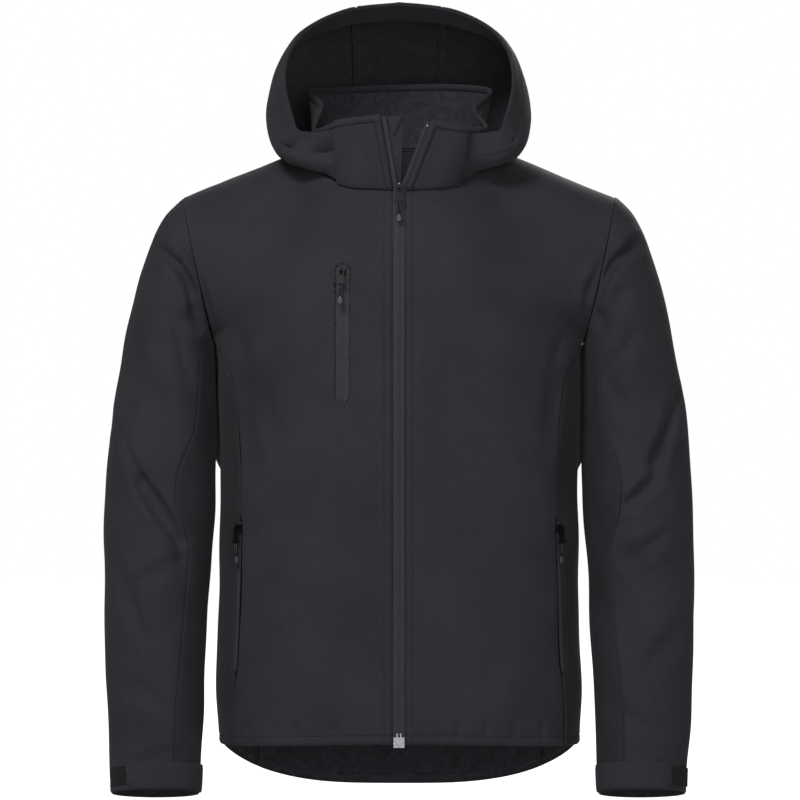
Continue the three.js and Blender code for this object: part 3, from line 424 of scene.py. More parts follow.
def hood_at(side, rib, t):
    rib, t = np.broadcast_arrays(np.asarray(rib, float), np.asarray(t, float))
    r = read(HOOD, "rib", rib)
    foot = neck_at(side, r["neck"])
    tangent = neck_at(side, np.minimum(r["neck"] + 0.1, NECK_BACK)) - neck_at(side, r["neck"] - 0.1)
    square = unit(vec(tangent[..., 1], -tangent[..., 0], 0))
    outward = np.sum(square * foot, -1, keepdims=True)
    square = np.where(outward < 0, -square, square)
    foot = foot + square * HOOD_FOOT["out"] + vec(0, 0, HOOD_FOOT["up"])
    rim = vec(side * r["x"], r["y"], r["z"])
    low = foot + vec(side * r["lowX"], r["lowY"], r["lowZ"])
    high = rim + vec(side * r["highX"], r["highY"], r["highZ"])
    p = bezier(foot, low, high, rim, t)
    tucked = 1 - smooth(rib, *HOOD_TUCK["ribs"])
    h = lerp(*HOOD_TUCK["rise"], t)
    on_collar = collar_at(side, r["neck"], h) + collar_normal(side, r["neck"], h) * HOOD_LIFT
    return lerp(p, on_collar, tucked[..., None])


# Meshes

def mesh_object(name, points, faces, materials, slots=None):
    data = bpy.data.meshes.new(name)
    faces = faces if isinstance(faces, list) else faces.tolist()
    data.from_pydata((np.asarray(points) * MM).tolist(), [], faces)
    for material in materials:
        data.materials.append(material)
    if slots is not None:
        data.polygons.foreach_set("material_index", np.asarray(slots, np.int32))
    data.polygons.foreach_set("use_smooth", np.ones(len(data.polygons), bool))
    data.update()
    piece = bpy.data.objects.new(name, data)
    bpy.context.scene.collection.objects.link(piece)
    return piece


def grid_normals(points, outward):
    over = np.gradient(points, axis=1)
    up = np.gradient(points, axis=0)
    n = unit(np.cross(over, up))
    if np.sum(n * (points - outward)) < 0:
        n = -n
    return n


def edge_distances(points):
    """The distance of each grid point from the foot, top, first and last column, along the cloth."""
    down = np.linalg.norm(np.diff(points, axis=0), axis=-1)
    over = np.linalg.norm(np.diff(points, axis=1), axis=-1)
    zero_row, zero_column = np.zeros((1, points.shape[1])), np.zeros((points.shape[0], 1))
    foot = np.concatenate([zero_row, np.cumsum(down, 0)])
    first = np.concatenate([zero_column, np.cumsum(over, 1)], 1)
    return {"foot": foot, "top": foot[-1:] - foot, "first": first, "last": first[:, -1:] - first}


EDGE_LINES = (0, 0.6, 1.3, 2.2, 3.4)
STITCH_LINES = (-2.0, -1.1, -0.5, 0, 0.5, 1.1, 2.0)


def near_lines(stitches):
    """Grid distances from an edge, close together on the edge and round each row of stitches."""
    beside = [at + step for at in stitches for step in STITCH_LINES if at + step > EDGE_LINES[-1]]
    wanted = sorted(list(EDGE_LINES) + beside)
    kept = [wanted[0]]
    for distance in wanted[1:]:
        if distance - kept[-1] > 0.25:
            kept.append(distance)
    return np.array(kept)


def lines_across(totals, cell, low, high):
    """For each length, the distances of the grid's lines from its start: fixed near both ends."""
    totals = np.asarray(totals, float)[:, None]
    count = max(2, int((float(totals.mean()) - low[-1] - high[-1]) / cell))
    middle = totals - high[-1] - low[-1]
    inner = low[-1] + middle * np.linspace(0, 1, count + 1)[None, :]
    start = np.repeat(low[None, :-1], len(totals), 0)
    return np.concatenate([start, inner, totals - high[None, -2::-1]], 1)


def running(lengths, axis):
    start = np.zeros_like(np.take(lengths, [0], axis))
    return np.concatenate([start, np.cumsum(lengths, axis)], axis)


def lay_grid(surface, cell, foot=(), top=(), first=(), last=()):
    """Lays a grid on surface(s, v) whose outer lines run at even distances from the four edges."""
    s0, v0 = np.linspace(0, 1, 41), np.linspace(0, 1, 81)
    rough = surface(s0[None, :] + 0 * v0[:, None], v0[:, None] + 0 * s0[None, :])
    height = running(np.linalg.norm(np.diff(rough, axis=0), axis=-1), 0)
    width = running(np.linalg.norm(np.diff(rough, axis=1), axis=-1), 1)
    row_at = lines_across(height[-1], cell, near_lines(foot), near_lines(top))
    column_at = lines_across(width[:, -1], cell, near_lines(first), near_lines(last))
    v_of = np.array([np.interp(row_at[k], height[:, k], v0) for k in range(len(s0))]).T
    s_of = np.array([np.interp(column_at[k], width[k], s0) for k in range(len(v0))])
    v = np.repeat(v_of.mean(1)[:, None], s_of.shape[1], 1)
    s = np.repeat(s_of.mean(0)[None, :], len(v), 0)
    for _ in range(3):
        s = np.stack([np.interp(v[:, j], v0, s_of[:, j]) for j in range(s.shape[1])], 1)
        v = np.stack([np.interp(s[i], s0, v_of[i]) for i in range(len(v))], 0)
    return surface(s, v), s, v


ROLL_WIDE = 1.6                  # how far an edge rolls under
SEAM_ROLL = {"seam": 2.4, "armhole": 0.3, "wide": 2.0}


class Cloth:
    """A piece of cloth on a grid of points, with relief, as a closed thin wall."""

    def __init__(self, name, points, middle, relief=None, rolls=("foot", "top", "first", "last"), roll=0.7):
        self.name = name
        self.base = points
        self.edges = edge_distances(points)
        self.normals = grid_normals(points, middle)
        depth = np.zeros(points.shape[:2])
        for edge in rolls:
            depth += roll * np.exp(-(self.edges[edge] / ROLL_WIDE) ** 2)
        if relief is not None:
            depth = depth + relief(points, self.edges)
        self.points = points - self.normals * depth[..., None]
        self.normals = grid_normals(self.points, middle)

    def snap(self, distance_at, reach):
        """Moves points that lie close to an outline onto it, along the outline's own slope."""
        step = 0.05
        d = distance_at(self.points)
        slope_x = (distance_at(self.points + vec(step, 0, 0)) - d) / step
        slope_z = (distance_at(self.points + vec(0, 0, step)) - d) / step
        near = np.abs(d) < reach
        self.points[..., 0] -= near * d * slope_x
        self.points[..., 2] -= near * d * slope_z

    def build(self, nodes, outer, inner, thick=CLOTH, lift=0.0, sheet=True, cut=None):
        """Makes the wall; with sheet it calls declare, which records nothing, and cut leaves out what it gives
        as negative.
        """
        rows, columns = self.points.shape[:2]
        face = self.points + self.normals * (np.asarray(lift)[..., None] if np.ndim(lift) else lift)
        self.points = face
        lining = face - self.normals * thick
        count = rows * columns
        points = np.concatenate([face.reshape(-1, 3), lining.reshape(-1, 3)])
        index = np.arange(count).reshape(rows, columns)
        quads = np.stack([index[:-1, :-1], index[:-1, 1:], index[1:, 1:], index[1:, :-1]], -1)
        quads = quads.reshape(-1, 4)
        if cut is not None:
            quads = quads[cut(points[quads].mean(1)) > 0]
        corner = points[quads]
        facing = np.cross(corner[:, 1] - corner[:, 0], corner[:, 3] - corner[:, 0])
        if np.sum(facing * self.normals.reshape(-1, 3)[quads[:, 0]]) < 0:
            quads = quads[:, ::-1]
        starts = quads.ravel().astype(np.int64)
        ends = np.roll(quads, -1, axis=1).ravel().astype(np.int64)
        alone = ~np.isin(starts * count + ends, ends * count + starts)
        starts, ends = starts[alone], ends[alone]
        rim = np.stack([ends, starts, starts + count, ends + count], 1)
        faces = np.concatenate([quads, quads[:, ::-1] + count, rim])
        slots = np.concatenate([np.zeros(len(quads)), np.ones(len(quads)), np.zeros(len(rim))])
        piece = mesh_object(self.name, points, faces, [outer, inner], slots)
        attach(piece, "jacket")
        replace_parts(piece, *nodes)
        if sheet:
            self.declare()

    def declare(self):
        """Takes the steps along the rows and columns of the cloth before its relief, and does nothing more
        with them.
        """
        over, up = np.diff(self.base, axis=1), np.diff(self.base, axis=0)

    def line(self, edge, distance):
        """A path along one edge at a distance from it, with the normals there."""
        across = edge in ("first", "last")
        points = self.points if across else np.swapaxes(self.points, 0, 1)
        normals = self.normals if across else np.swapaxes(self.normals, 0, 1)
        far = self.edges[edge] if across else np.swapaxes(self.edges[edge], 0, 1)
        path, out = [], []
        for row, n, reach in zip(points, normals, far):
            order = np.argsort(reach)
            path.append([np.interp(distance, reach[order], row[order, i]) for i in range(3)])
            out.append([np.interp(distance, reach[order], n[order, i]) for i in range(3)])
        return np.array(path), unit(np.array(out))


def resample(path, normals, step):
    lengths = np.concatenate([[0], np.cumsum(np.linalg.norm(np.diff(path, axis=0), axis=-1))])
    count = max(2, int(lengths[-1] / step))
    at = (np.arange(count) + 0.5) * lengths[-1] / count
    points = np.stack([np.interp(at, lengths, path[:, i]) for i in range(3)], 1)
    out = unit(np.stack([np.interp(at, lengths, normals[:, i]) for i in range(3)], 1))
    ahead = np.stack([np.interp(at + 0.3, lengths, path[:, i]) for i in range(3)], 1)
    back = np.stack([np.interp(at - 0.3, lengths, path[:, i]) for i in range(3)], 1)
    return points, out, unit(ahead - back)


STITCH = {"pitch": 3.1, "long": 2.3, "wide": 0.55, "high": 0.32}


def stitch_parts(path, normals):
    """Each stitch is a small lens of thread lying along the path."""
    points, out, along = resample(path, normals, STITCH["pitch"])
    beside = unit(np.cross(along, out))
    half, wide, high = STITCH["long"] / 2, STITCH["wide"] / 2, STITCH["high"]
    shape = [along * half - out * high * 0.6, beside * wide + out * high * 0.3,
             -beside * wide + out * high * 0.3, -along * half - out * high * 0.6,
             out * high, -out * high * 0.8]
    corners = np.stack([points + offset for offset in shape], 1)
    faces = np.array([(0, 1, 4), (1, 3, 4), (3, 2, 4), (2, 0, 4),
                      (1, 0, 5), (3, 1, 5), (2, 3, 5), (0, 2, 5)])
    index = faces[None] + 6 * np.arange(len(points))[:, None, None]
    return corners.reshape(-1, 3), index.reshape(-1, 3)


def build_stitches(name, lines, material):
    points, faces, count = [], [], 0
    for path, normals in lines:
        corners, index = stitch_parts(path, normals)
        points.append(corners)
        faces.append(index + count)
        count += len(corners)
    piece = mesh_object(name, np.concatenate(points), np.concatenate(faces), [material])
    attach(piece, "jacket")


def ring_piece(name, rings, material, body="jacket"):
    """A closed form through rings of points, each with as many points as the next."""
    rings = np.asarray(rings, float)
    index = np.arange(rings.shape[0] * rings.shape[1]).reshape(rings.shape[:2])
    after = np.roll(index, -1, axis=1)
    faces = np.stack([index[:-1], after[:-1], after[1:], index[1:]], -1).reshape(-1, 4).tolist()
    faces += [index[0, ::-1].tolist(), index[-1].tolist()]
    piece = mesh_object(name, rings.reshape(-1, 3), faces, [material])
    face_outward(piece)
    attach(piece, body)
    return piece


def face_outward(piece):
    mesh = bmesh.new()
    mesh.from_mesh(piece.data)
    bmesh.ops.recalc_face_normals(mesh, faces=mesh.faces)
    mesh.to_mesh(piece.data)
    mesh.free()


# Materials

class Nodes:
    """A short way to write a material's nodes."""

    def __init__(self, name, **sockets):
        self.material = bpy.data.materials.new(name)
        self.material.use_nodes = True
        self.tree = self.material.node_tree
        self.shader = self.tree.nodes["Principled BSDF"]
        for key, value in sockets.items():
            self.shader.inputs[key.replace("_", " ")].default_value = value
        self.place = self.add("ShaderNodeTexCoord").outputs["Object"]

    def add(self, kind, inputs=None, **settings):
        node = self.tree.nodes.new(kind)
        for key, value in settings.items():
            setattr(node, key, value)
        for key, value in (inputs or {}).items():
            if hasattr(value, "is_output"):
                self.tree.links.new(value, node.inputs[key])
            else:
                node.inputs[key].default_value = value
        return node

    def noise(self, scale, detail=3.0, stretch=(1, 1, 1)):
        place = self.add("ShaderNodeMapping", {"Vector": self.place, "Scale": stretch}).outputs["Vector"]
        inputs = {"Vector": place, "Scale": scale, "Detail": detail}
        return self.add("ShaderNodeTexNoise", inputs).outputs["Fac"]

    def wave(self, pitch, direction, distort=0.6):
        inputs = {"Vector": self.place, "Scale": WAVE_UNIT / pitch, "Distortion": distort, "Detail": 2.0}
        node = self.add("ShaderNodeTexWave", inputs, bands_direction=direction)
        return node.outputs["Fac"]

    def math(self, operation, a, b):
        return self.add("ShaderNodeMath", {0: a, 1: b}, operation=operation).outputs["Value"]

    def ramp(self, factor, low, high, start=0.3, end=0.7):
        node = self.add("ShaderNodeValToRGB", {"Fac": factor})
        first, last = node.color_ramp.elements
        first.position, first.color = start, (*low, 1)
        last.position, last.color = end, (*high, 1)
        return node.outputs["Color"]

    def colour(self, factor, low, high, start=0.3, end=0.7):
        self.tree.links.new(self.ramp(factor, low, high, start, end), self.shader.inputs["Base Color"])

    def rough(self, factor, low, high):
        node = self.add("ShaderNodeMapRange", {"Value": factor, "To Min": low, "To Max": high})
        self.tree.links.new(node.outputs["Result"], self.shader.inputs["Roughness"])

    def bump(self, height, strength, distance):
        node = self.add("ShaderNodeBump", {"Height": height, "Strength": strength, "Distance": distance})
        self.tree.links.new(node.outputs["Normal"], self.shader.inputs["Normal"])


WAVE_UNIT = 2 * math.pi / 20     # a wave texture's pitch at scale 1


def shell_cloth(name, low, high, weave=0.0009):
    """Woven face cloth: crossing yarns under a fine heather."""
    n = Nodes(name, Metallic=0.0, Sheen_Weight=0.05, Sheen_Roughness=0.5, Specular_IOR_Level=0.22)
    yarns = n.math("MAXIMUM", n.wave(weave, "DIAGONAL"), n.wave(weave * 1.15, "Z"))
    grain = n.noise(900, 4)
    cloud = n.noise(14, 3)
    mixed = n.math("ADD", n.math("MULTIPLY", grain, 0.6), n.math("MULTIPLY", cloud, 0.4))
    n.colour(mixed, low, high)
    n.rough(cloud, 0.74, 0.9)
    n.bump(n.math("ADD", yarns, n.math("MULTIPLY", grain, 0.8)), 0.35, 0.0003)
    return n.material


def fleece_cloth(name, low, high):
    n = Nodes(name, Metallic=0.0, Sheen_Weight=0.08, Sheen_Roughness=0.6, Specular_IOR_Level=0.15)
    tufts = n.add("ShaderNodeTexVoronoi", {"Vector": n.place, "Scale": 520.0}).outputs["Distance"]
    nap = n.noise(1300, 4)
    mixed = n.math("ADD", n.math("MULTIPLY", nap, 0.4), n.math("MULTIPLY", n.noise(130, 4), 0.6))
    n.colour(mixed, low, high)
    n.rough(nap, 0.88, 1.0)
    n.bump(n.math("ADD", tufts, nap), 0.6, 0.0006)
    return n.material


def ribbed_tape(name, low, high, pitch):
    n = Nodes(name, Metallic=0.0, Sheen_Weight=0.05, Specular_IOR_Level=0.3)
    ribs = n.wave(pitch, "Z", 0.3)
    grain = n.noise(1600, 3)
    n.colour(n.math("ADD", n.math("MULTIPLY", ribs, 0.35), n.math("MULTIPLY", grain, 0.65)), low, high)
    n.rough(n.noise(700, 2), 0.6, 0.85)
    n.bump(ribs, 0.3, 0.0003)
    return n.material


def loop_pile(name, low, high):
    n = Nodes(name, Metallic=0.0, Sheen_Weight=0.05, Specular_IOR_Level=0.2)
    pile = n.noise(2200, 5)
    n.colour(pile, low, high)
    n.rough(pile, 0.85, 1.0)
    n.bump(pile, 0.9, 0.0008)
    return n.material


def painted_metal(name, low, high, metallic, rough_low, rough_high):
    """Metal with worn paint, lighter where the noise peaks."""
    n = Nodes(name, Metallic=metallic, Specular_IOR_Level=0.25)
    wear = n.noise(420, 5)
    n.colour(wear, low, high, 0.45, 0.8)
    n.rough(n.noise(240, 3), rough_low, rough_high)
    n.bump(wear, 0.15, 0.0002)
    return n.material


def moulded_rubber(name, low, high):
    n = Nodes(name, Metallic=0.0, Coat_Weight=0.1)
    grain = n.noise(1500, 4)
    n.colour(grain, low, high)
    n.rough(grain, 0.45, 0.7)
    n.bump(grain, 0.25, 0.0002)
    return n.material


def grey(level, blue=1.19):
    return (level, level * 0.965, level * blue)


MATERIALS = {
    "shell": shell_cloth("shell", grey(0.019), grey(0.041)),
    "side_shell": shell_cloth("side_shell", grey(0.014), grey(0.031)),
    "fleece": fleece_cloth("fleece", grey(0.020), grey(0.052)),
    "lining": fleece_cloth("lining", grey(0.022), grey(0.044)),
    "tape": ribbed_tape("tape", grey(0.022), grey(0.046), 0.0019),
    "thread": ribbed_tape("thread", grey(0.010), grey(0.024), 0.0006),
    "loop": loop_pile("loop", grey(0.008), grey(0.018)),
    "black_metal": painted_metal("black_metal", grey(0.004), grey(0.014), 0.1, 0.3, 0.5),
    "steel": painted_metal("steel", grey(0.30, 1.08), grey(0.48, 1.08), 0.95, 0.25, 0.45),
    "tip": moulded_rubber("tip", grey(0.045), grey(0.075)),
    "grip": moulded_rubber("grip", grey(0.006), grey(0.014)),
}
SHELL, SIDE_SHELL, FLEECE = MATERIALS["shell"], MATERIALS["side_shell"], MATERIALS["fleece"]
LINING, TAPE, THREAD = MATERIALS["lining"], MATERIALS["tape"], MATERIALS["thread"]


# Relief: every function gives the depth in millimetres that the cloth sinks by

CHANNEL_DEEP, CHANNEL_WIDE = 0.8, 1.1
PUCKER = {"deep": 0.42, "period": 8.5, "reach": 6.0}


def channel(distance, at, deep=CHANNEL_DEEP):
    """The groove that a row of topstitching pulls."""
    return deep * np.exp(-((distance - at) / CHANNEL_WIDE) ** 2)


def wander(p, seed, size=46.0):
    """A slow, uneven swell over the whole garment, between about -1 and 1."""
    x, y, z = (p[..., i] / size + 1.7 * seed for i in range(3))
    return (np.sin(2.1 * x + 0.9 * z + np.sin(1.3 * z + y)) + np.sin(1.7 * z - 0.8 * x + np.sin(1.1 * x))
            + 0.6 * np.sin(3.3 * (x + z) + 2.0 * np.sin(0.9 * y))) / 2.6


def pucker(p, distance, seed):
    """Small gathers beside a seam, uneven in spacing and depth."""
    along = (p[..., 2] + 0.8 * p[..., 0] + 3.0 * wander(p, seed, 17.0)) * 2 * math.pi / PUCKER["period"]
    strength = 0.55 + 0.45 * wander(p, seed + 2, 60.0)
    return PUCKER["deep"] * strength * np.sin(along) * np.exp(-(distance / PUCKER["reach"]) ** 2)


# Creases seen from the front (face -1) or the back (face 1); a ridge has a negative depth
CREASES = table("face x0 z0 x1 z1 wide deep",
                (-1, -176, -268, -168, -372, 9, 2.9), (-1, -158, -262, -150, -330, 12, 2.2),
                (-1, 178, -262, 170, -350, 10, 2.9), (-1, 196, -300, 186, -420, 11, 2.5),
                (-1, -186, -208, -176, -246, 9, 2.7), (-1, 188, -214, 176, -250, 8, 2.7),
                (-1, -120, -640, -96, -520, 16, 2.0), (-1, 92, -652, 118, -560, 15, 2.2),
                (-1, -60, -70, -130, -62, 10, 1.8), (-1, 62, -74, 128, -66, 11, 1.8),
                (-1, 38, -330, 44, -520, 18, 1.4), (-1, -40, -420, -36, -600, 17, 1.4),
                (1, -150, -240, -60, -300, 14, 3.2), (1, 40, -270, 150, -232, 15, 3.1),
                (1, -120, -360, 10, -392, 16, 3.4), (1, 20, -420, 132, -380, 15, 2.9),
                (1, -90, -120, -20, -150, 14, 2.0), (1, 24, -140, 100, -118, 13, 2.2),
                (1, -60, -560, -40, -690, 18, 2.7), (1, 70, -600, 52, -700, 17, 2.5),
                (1, 0, -470, 8, -560, 15, 1.8), (1, -160, -330, -120, -450, 14, 2.5),
                (-1, -262, -188, -242, -260, 8, 4.0), (-1, -300, -250, -262, -330, 12, 3.2),
                (-1, -330, -470, -290, -560, 9, 4.7), (-1, -318, -610, -262, -640, 10, 3.2),
                (-1, -250, -470, -306, -500, 9, 3.1), (-1, -302, -700, -250, -690, 8, 2.2),
                (-1, 270, -210, 240, -262, 9, 4.0), (-1, 236, -262, 262, -300, 9, 3.2),
                (-1, 306, -440, 268, -470, 9, 4.3), (-1, 262, -462, 296, -500, 9, 3.6),
                (-1, 330, -540, 280, -600, 11, 3.4), (-1, 246, -640, 300, -668, 10, 2.7),
                (1, -318, -200, -258, -262, 12, 3.6), (1, -262, -360, -322, -330, 10, 4.3),
                (1, -322, -470, -250, -500, 11, 4.7), (1, -260, -580, -312, -620, 10, 3.2),
                (1, 262, -250, 320, -210, 11, 3.6), (1, 326, -420, 258, -440, 10, 4.7),
                (1, 250, -500, 318, -530, 11, 3.8), (1, 312, -650, 256, -610, 10, 3.1),
                (-1, -283, -107, -254, -130, 7, 8.5), (-1, -254, -130, -235, -159, 7, 10.0),
                (-1, -235, -159, -228, -200, 8, 9.5), (-1, -247, -190, -243, -200, 9, 5.5),
                (-1, 275, -105, 240, -132, 7, 8.0), (-1, 240, -132, 221, -166, 7, 9.0),
                (-1, 219, -180, 235, -197, 7, 5.0), (-1, 324, -281, 295, -361, 7, 6.0),
                (-1, 292, -380, 264, -406, 7, 5.0), (-1, -295, -380, -254, -447, 8, 6.5),
                (-1, -331, -308, -295, -380, 7, 5.5), (-1, -254, -447, -244, -486, 9, 5.0))


def creases(p, face):
    """Soft troughs that thin out towards both ends and wander off their line."""
    depth = np.zeros(p.shape[:-1])
    sway = 4.0 * wander(p, 5, 30.0)
    for k in range(len(CREASES["face"])):
        c = {name: column[k] for name, column in CREASES.items()}
        if c["face"] != face:
            continue
        away, t = from_segment(p, c["x0"], c["z0"], c["x1"], c["z1"])
        taper = 0.25 + 0.75 * np.sin(math.pi * np.clip(0.1 + 0.8 * t, 0, 1))
        depth += c["deep"] * taper * np.exp(-((away + sway) / c["wide"]) ** 2)
        depth -= 0.35 * c["deep"] * taper * np.exp(-((away + sway - 1.7 * c["wide"]) / c["wide"]) ** 2)
    return depth


def facing_creases(p, sine):
    """The front's creases where a piece faces the front, the back's where it faces back."""
    front = np.clip(-sine * 1.6, 0, 1)
    back = np.clip(sine * 1.6, 0, 1)
    return front * creases(p, -1) + back * creases(p, 1)


SWELL = 1.0
HEM_STITCH, CUFF_STITCH, ZIP_STITCH, HOOD_STITCH = 10.0, 14.0, 9.0, 26.0
SEAM_STITCH, POCKET_STITCH, TRIM_STITCH = 5.0, 4.5, 2.6
GATHERS = table("x deep",
                (-172, 0.9), (-141, 0.7), (-120, 1.0), (-76, 0.9), (-70, 0.5),
                (28, 0.4), (68, 0.9), (99, 1.0), (131, 0.6), (164, 0.8))
GATHER = {"deep": 3.4, "wide": 3.6, "up": 19, "high": 9}
RIPPLE = {"deep": 0.35, "wide": 3.1, "up": 6, "high": 5}


def hem_relief(p, foot):
    """The hem stitch, with small upright gathers above it."""
    depth = channel(foot, HEM_STITCH)
    for x, deep in zip(GATHERS["x"], GATHERS["deep"]):
        beside = np.exp(-((p[..., 0] - x) / GATHER["wide"]) ** 2)
        depth += GATHER["deep"] * deep * beside * np.exp(-((foot - GATHER["up"]) / GATHER["high"]) ** 2)
    ripple = RIPPLE["deep"] * np.sin(p[..., 0] / RIPPLE["wide"] + 2 * wander(p, 3, 30.0))
    return depth + ripple * np.exp(-((foot - RIPPLE["up"]) / RIPPLE["high"]) ** 2)


# The body's panels

YOKE_SHARE = 0.335               # of a panel's length from hem to top


def panel_surface(side, face):
    """The panel with its height running from 0 at the hem to 1 at the top."""
    low = 1 - YOKE_SHARE
    return lambda s, v: soft_panel_at(side, face, s, np.where(v < low, v / low, 1 + (v - low) / YOKE_SHARE))


def pocket_channel(p, last):
    z = p[..., 2]
    beside = smooth(z, POCKET_FOOT - 6, POCKET_FOOT + 4) * (1 - smooth(z, POCKET_TOP - 4, POCKET_TOP + 6))
    return beside * channel(last, POCKET_STITCH)


def slot_distance(p):
    """How far outside the chest pocket's slot a point lies, seen from the front; negative inside."""
    half = CHEST_ZIP["half"]
    foot, top = CHEST_ZIP["foot"] + half, CHEST_ZIP["top"] - half
    away, _ = from_segment(p, CHEST_ZIP["x"], foot, CHEST_ZIP["x"], top)
    return away - half


def seam_roll(p, distance):
    """The cloth rolls deep into the princess seam, and hardly at all into the armhole."""
    deep = lerp(SEAM_ROLL["seam"], SEAM_ROLL["armhole"], smooth(p[..., 2], CHEST - 20, CHEST + 12))
    return deep * np.exp(-(distance / SEAM_ROLL["wide"]) ** 2)


def front_relief(side):
    def relief(p, e):
        depth = hem_relief(p, e["foot"]) + channel(e["first"], ZIP_STITCH)
        depth = depth + channel(e["top"], SEAM_STITCH, 0.3)
        depth += pocket_channel(p, e["last"]) + pucker(p, e["last"], 1) + 0.6 * pucker(p, e["first"], 4)
        depth += seam_roll(p, e["last"])
        depth += creases(p, -1) * smooth(e["last"], 1, 14) + SWELL * wander(p, side)
        if side == RIGHT:
            d = slot_distance(p)
            ripple = 0.55 * np.sin(p[..., 2] / 1.3 + 2 * wander(p, 8, 12.0))
            ripple = ripple * np.exp(-((d - 1.5) / 1.6) ** 2)
            lip = 0.7 * np.exp(-(d / 0.9) ** 2) + ripple - 0.5 * np.exp(-((d - 2.6) / 1.5) ** 2)
            depth += (d > -1.5) * lip
        return depth
    return relief


def axis_of(points):
    return points * np.array([0, 0, 1.0])


def build_fronts():
    pieces = {}
    for name, side in SIDES:
        cell = 3.4 if side == LEFT else 2.4
        points, _, _ = lay_grid(panel_surface(side, -1), cell, (HEM_STITCH,), (SEAM_STITCH,),
                                (ZIP_STITCH,), (POCKET_STITCH,))
        piece = Cloth(f"front_{name}", points, axis_of(points), front_relief(side),
                      ("foot", "top", "first"), roll=1.7)
        cut = None
        if side == RIGHT:
            cut = slot_distance
            piece.snap(slot_distance, 1.3)
        piece.build([f"front_{name}"], SHELL, FLEECE, cut=cut)
        pieces[name] = piece
    return pieces


# The side panels swell towards the sleeves, so that no light shows between them
SIDE_SWELL = {"y": 42, "wide": 22, "reach": 220.5, "low": (-388, -348), "below_top": (2, 12)}
ARMHOLE_FOOT = -214              # the height where the side seam ends


def side_swell(p, below):
    """How far the cloth swells outward; below is the distance from the armhole."""
    near = np.exp(-((p[..., 1] - SIDE_SWELL["y"]) / SIDE_SWELL["wide"]) ** 2)
    near *= smooth(p[..., 2], *SIDE_SWELL["low"]) * smooth(below, *SIDE_SWELL["below_top"])
    return near * np.maximum(SIDE_SWELL["reach"] - np.abs(p[..., 0]), 0)


def build_back():
    def surface(k, v):
        across = 2 * k - 1
        right, left = panel_surface(RIGHT, 1), panel_surface(LEFT, 1)
        return np.where((across < 0)[..., None], right(np.abs(across), v), left(np.abs(across), v))

    seam = (SEAM_STITCH,)
    points, _, _ = lay_grid(surface, 3.8, (HEM_STITCH,), seam, seam, seam)

    def relief(p, e):
        depth = hem_relief(p, e["foot"]) + channel(e["top"], SEAM_STITCH, 0.3)
        depth += pucker(p, e["first"], 6) + pucker(p, e["last"], 7)
        depth += channel(e["first"], SEAM_STITCH, 0.3) + channel(e["last"], SEAM_STITCH, 0.3)
        depth -= side_swell(p, ARMHOLE_FOOT - p[..., 2])
        return depth + creases(p, 1) + 1.2 * SWELL * wander(p, 9)

    piece = Cloth("back", points, axis_of(points), relief, roll=1.3)
    piece.build(["back"], SHELL, FLEECE)
    return piece


def build_sides():
    pieces = {}
    for name, side in SIDES:
        points, _, _ = lay_grid(lambda k, v: side_at(side, k, v), 3.8, (HEM_STITCH,), (), (POCKET_STITCH,))

        def relief(p, e, side=side):
            depth = hem_relief(p, e["foot"]) + pocket_channel(p, e["first"])
            depth += pucker(p, e["first"], 1) + pucker(p, e["last"], 14 + side)
            depth -= side_swell(p, e["top"])
            facing = np.clip(p[..., 1] / 120, -1, 1)
            return depth + facing_creases(p, facing) + 1.3 * SWELL * wander(p, 12 + side)

        piece = Cloth(f"side_{name}", points, axis_of(points), relief, ("foot", "first", "last"), roll=1.5)
        piece.build([f"side_{name}"], SIDE_SHELL, FLEECE)
        pieces[name] = piece
    return pieces


# Sleeves

ARMHOLE_GAP = 0.5
ARMHOLE_OUT = np.array([0.976, 0, -0.216]) * ARMHOLE_GAP


def sleeve_point(side, ring, degrees):
    ring, degrees = np.broadcast_arrays(np.asarray(ring, float), np.asarray(degrees, float))
    near = 1 - smooth(ring, 0, 1)
    return sleeve_at(side, ring, degrees) + near[..., None] * ARMHOLE_OUT * np.array([side, 1, 1])


def sleeve_middle(side, ring):
    r = read(SLEEVE, "ring", ring)
    return vec(side * (r["outX"] + r["inX"]) / 2, r["fore"], (r["outZ"] + r["inZ"]) / 2)


def sleeve_relief(side, ring, degrees):
    sine = np.sin(np.radians(degrees))

    def relief(p, e):
        depth = channel(e["foot"], CUFF_STITCH, 0.5) + 0.6 * pucker(p, e["foot"], 20)
        depth = depth + channel(e["top"], 0.0, 0.5)
        depth += pucker(p, e["first"], 21 + side) + pucker(p, e["last"], 24 + side)
        depth += pucker(p, e["top"], 27)
        folds = facing_creases(p, -sine) * smooth(e["top"], 1, 16)
        return depth + folds + 1.3 * SWELL * wander(p, 30 + side)
    return relief


def build_sleeves():
    pieces = {}
    for name, side in SIDES:
        for part, start, end, shell in (("upper", BACK_SEAM - 360, None, "shell"),
                                        ("under", None, BACK_SEAM, "side_shell")):
            def angles(k, ring, start=start, end=end):
                seam = read(SLEEVE, "ring", ring)["seam"]
                return lerp(seam if start is None else start, seam if end is None else end, k)

            def surface(k, v, side=side, angles=angles):
                ring = LAST_RING * (1 - v)
                return sleeve_point(side, ring, angles(k, ring))

            points, k, v = lay_grid(surface, 3.4, (CUFF_STITCH,), (SEAM_STITCH,))
            ring = LAST_RING * (1 - v)
            degrees = angles(k, ring)
            piece = Cloth(f"sleeve_{part}_{name}", points, sleeve_middle(side, ring),
                          sleeve_relief(side, ring, degrees), ("foot", "first", "last"), roll=1.3)
            piece.build([f"sleeve_{part}_{name}"], MATERIALS[shell], FLEECE)
            pieces[part, name] = piece
    return pieces


CUFF_LOW, CUFF_HIGH = 14.93, 14.12
CUFF = {"margin": 0.14, "patch": (14, 78), "tab": (56, 205), "round": 0.08, "tip": 0.45, "over_patch": 3.6}
SEAT = 0.3                       # how far a tab or patch stands off the cloth under it


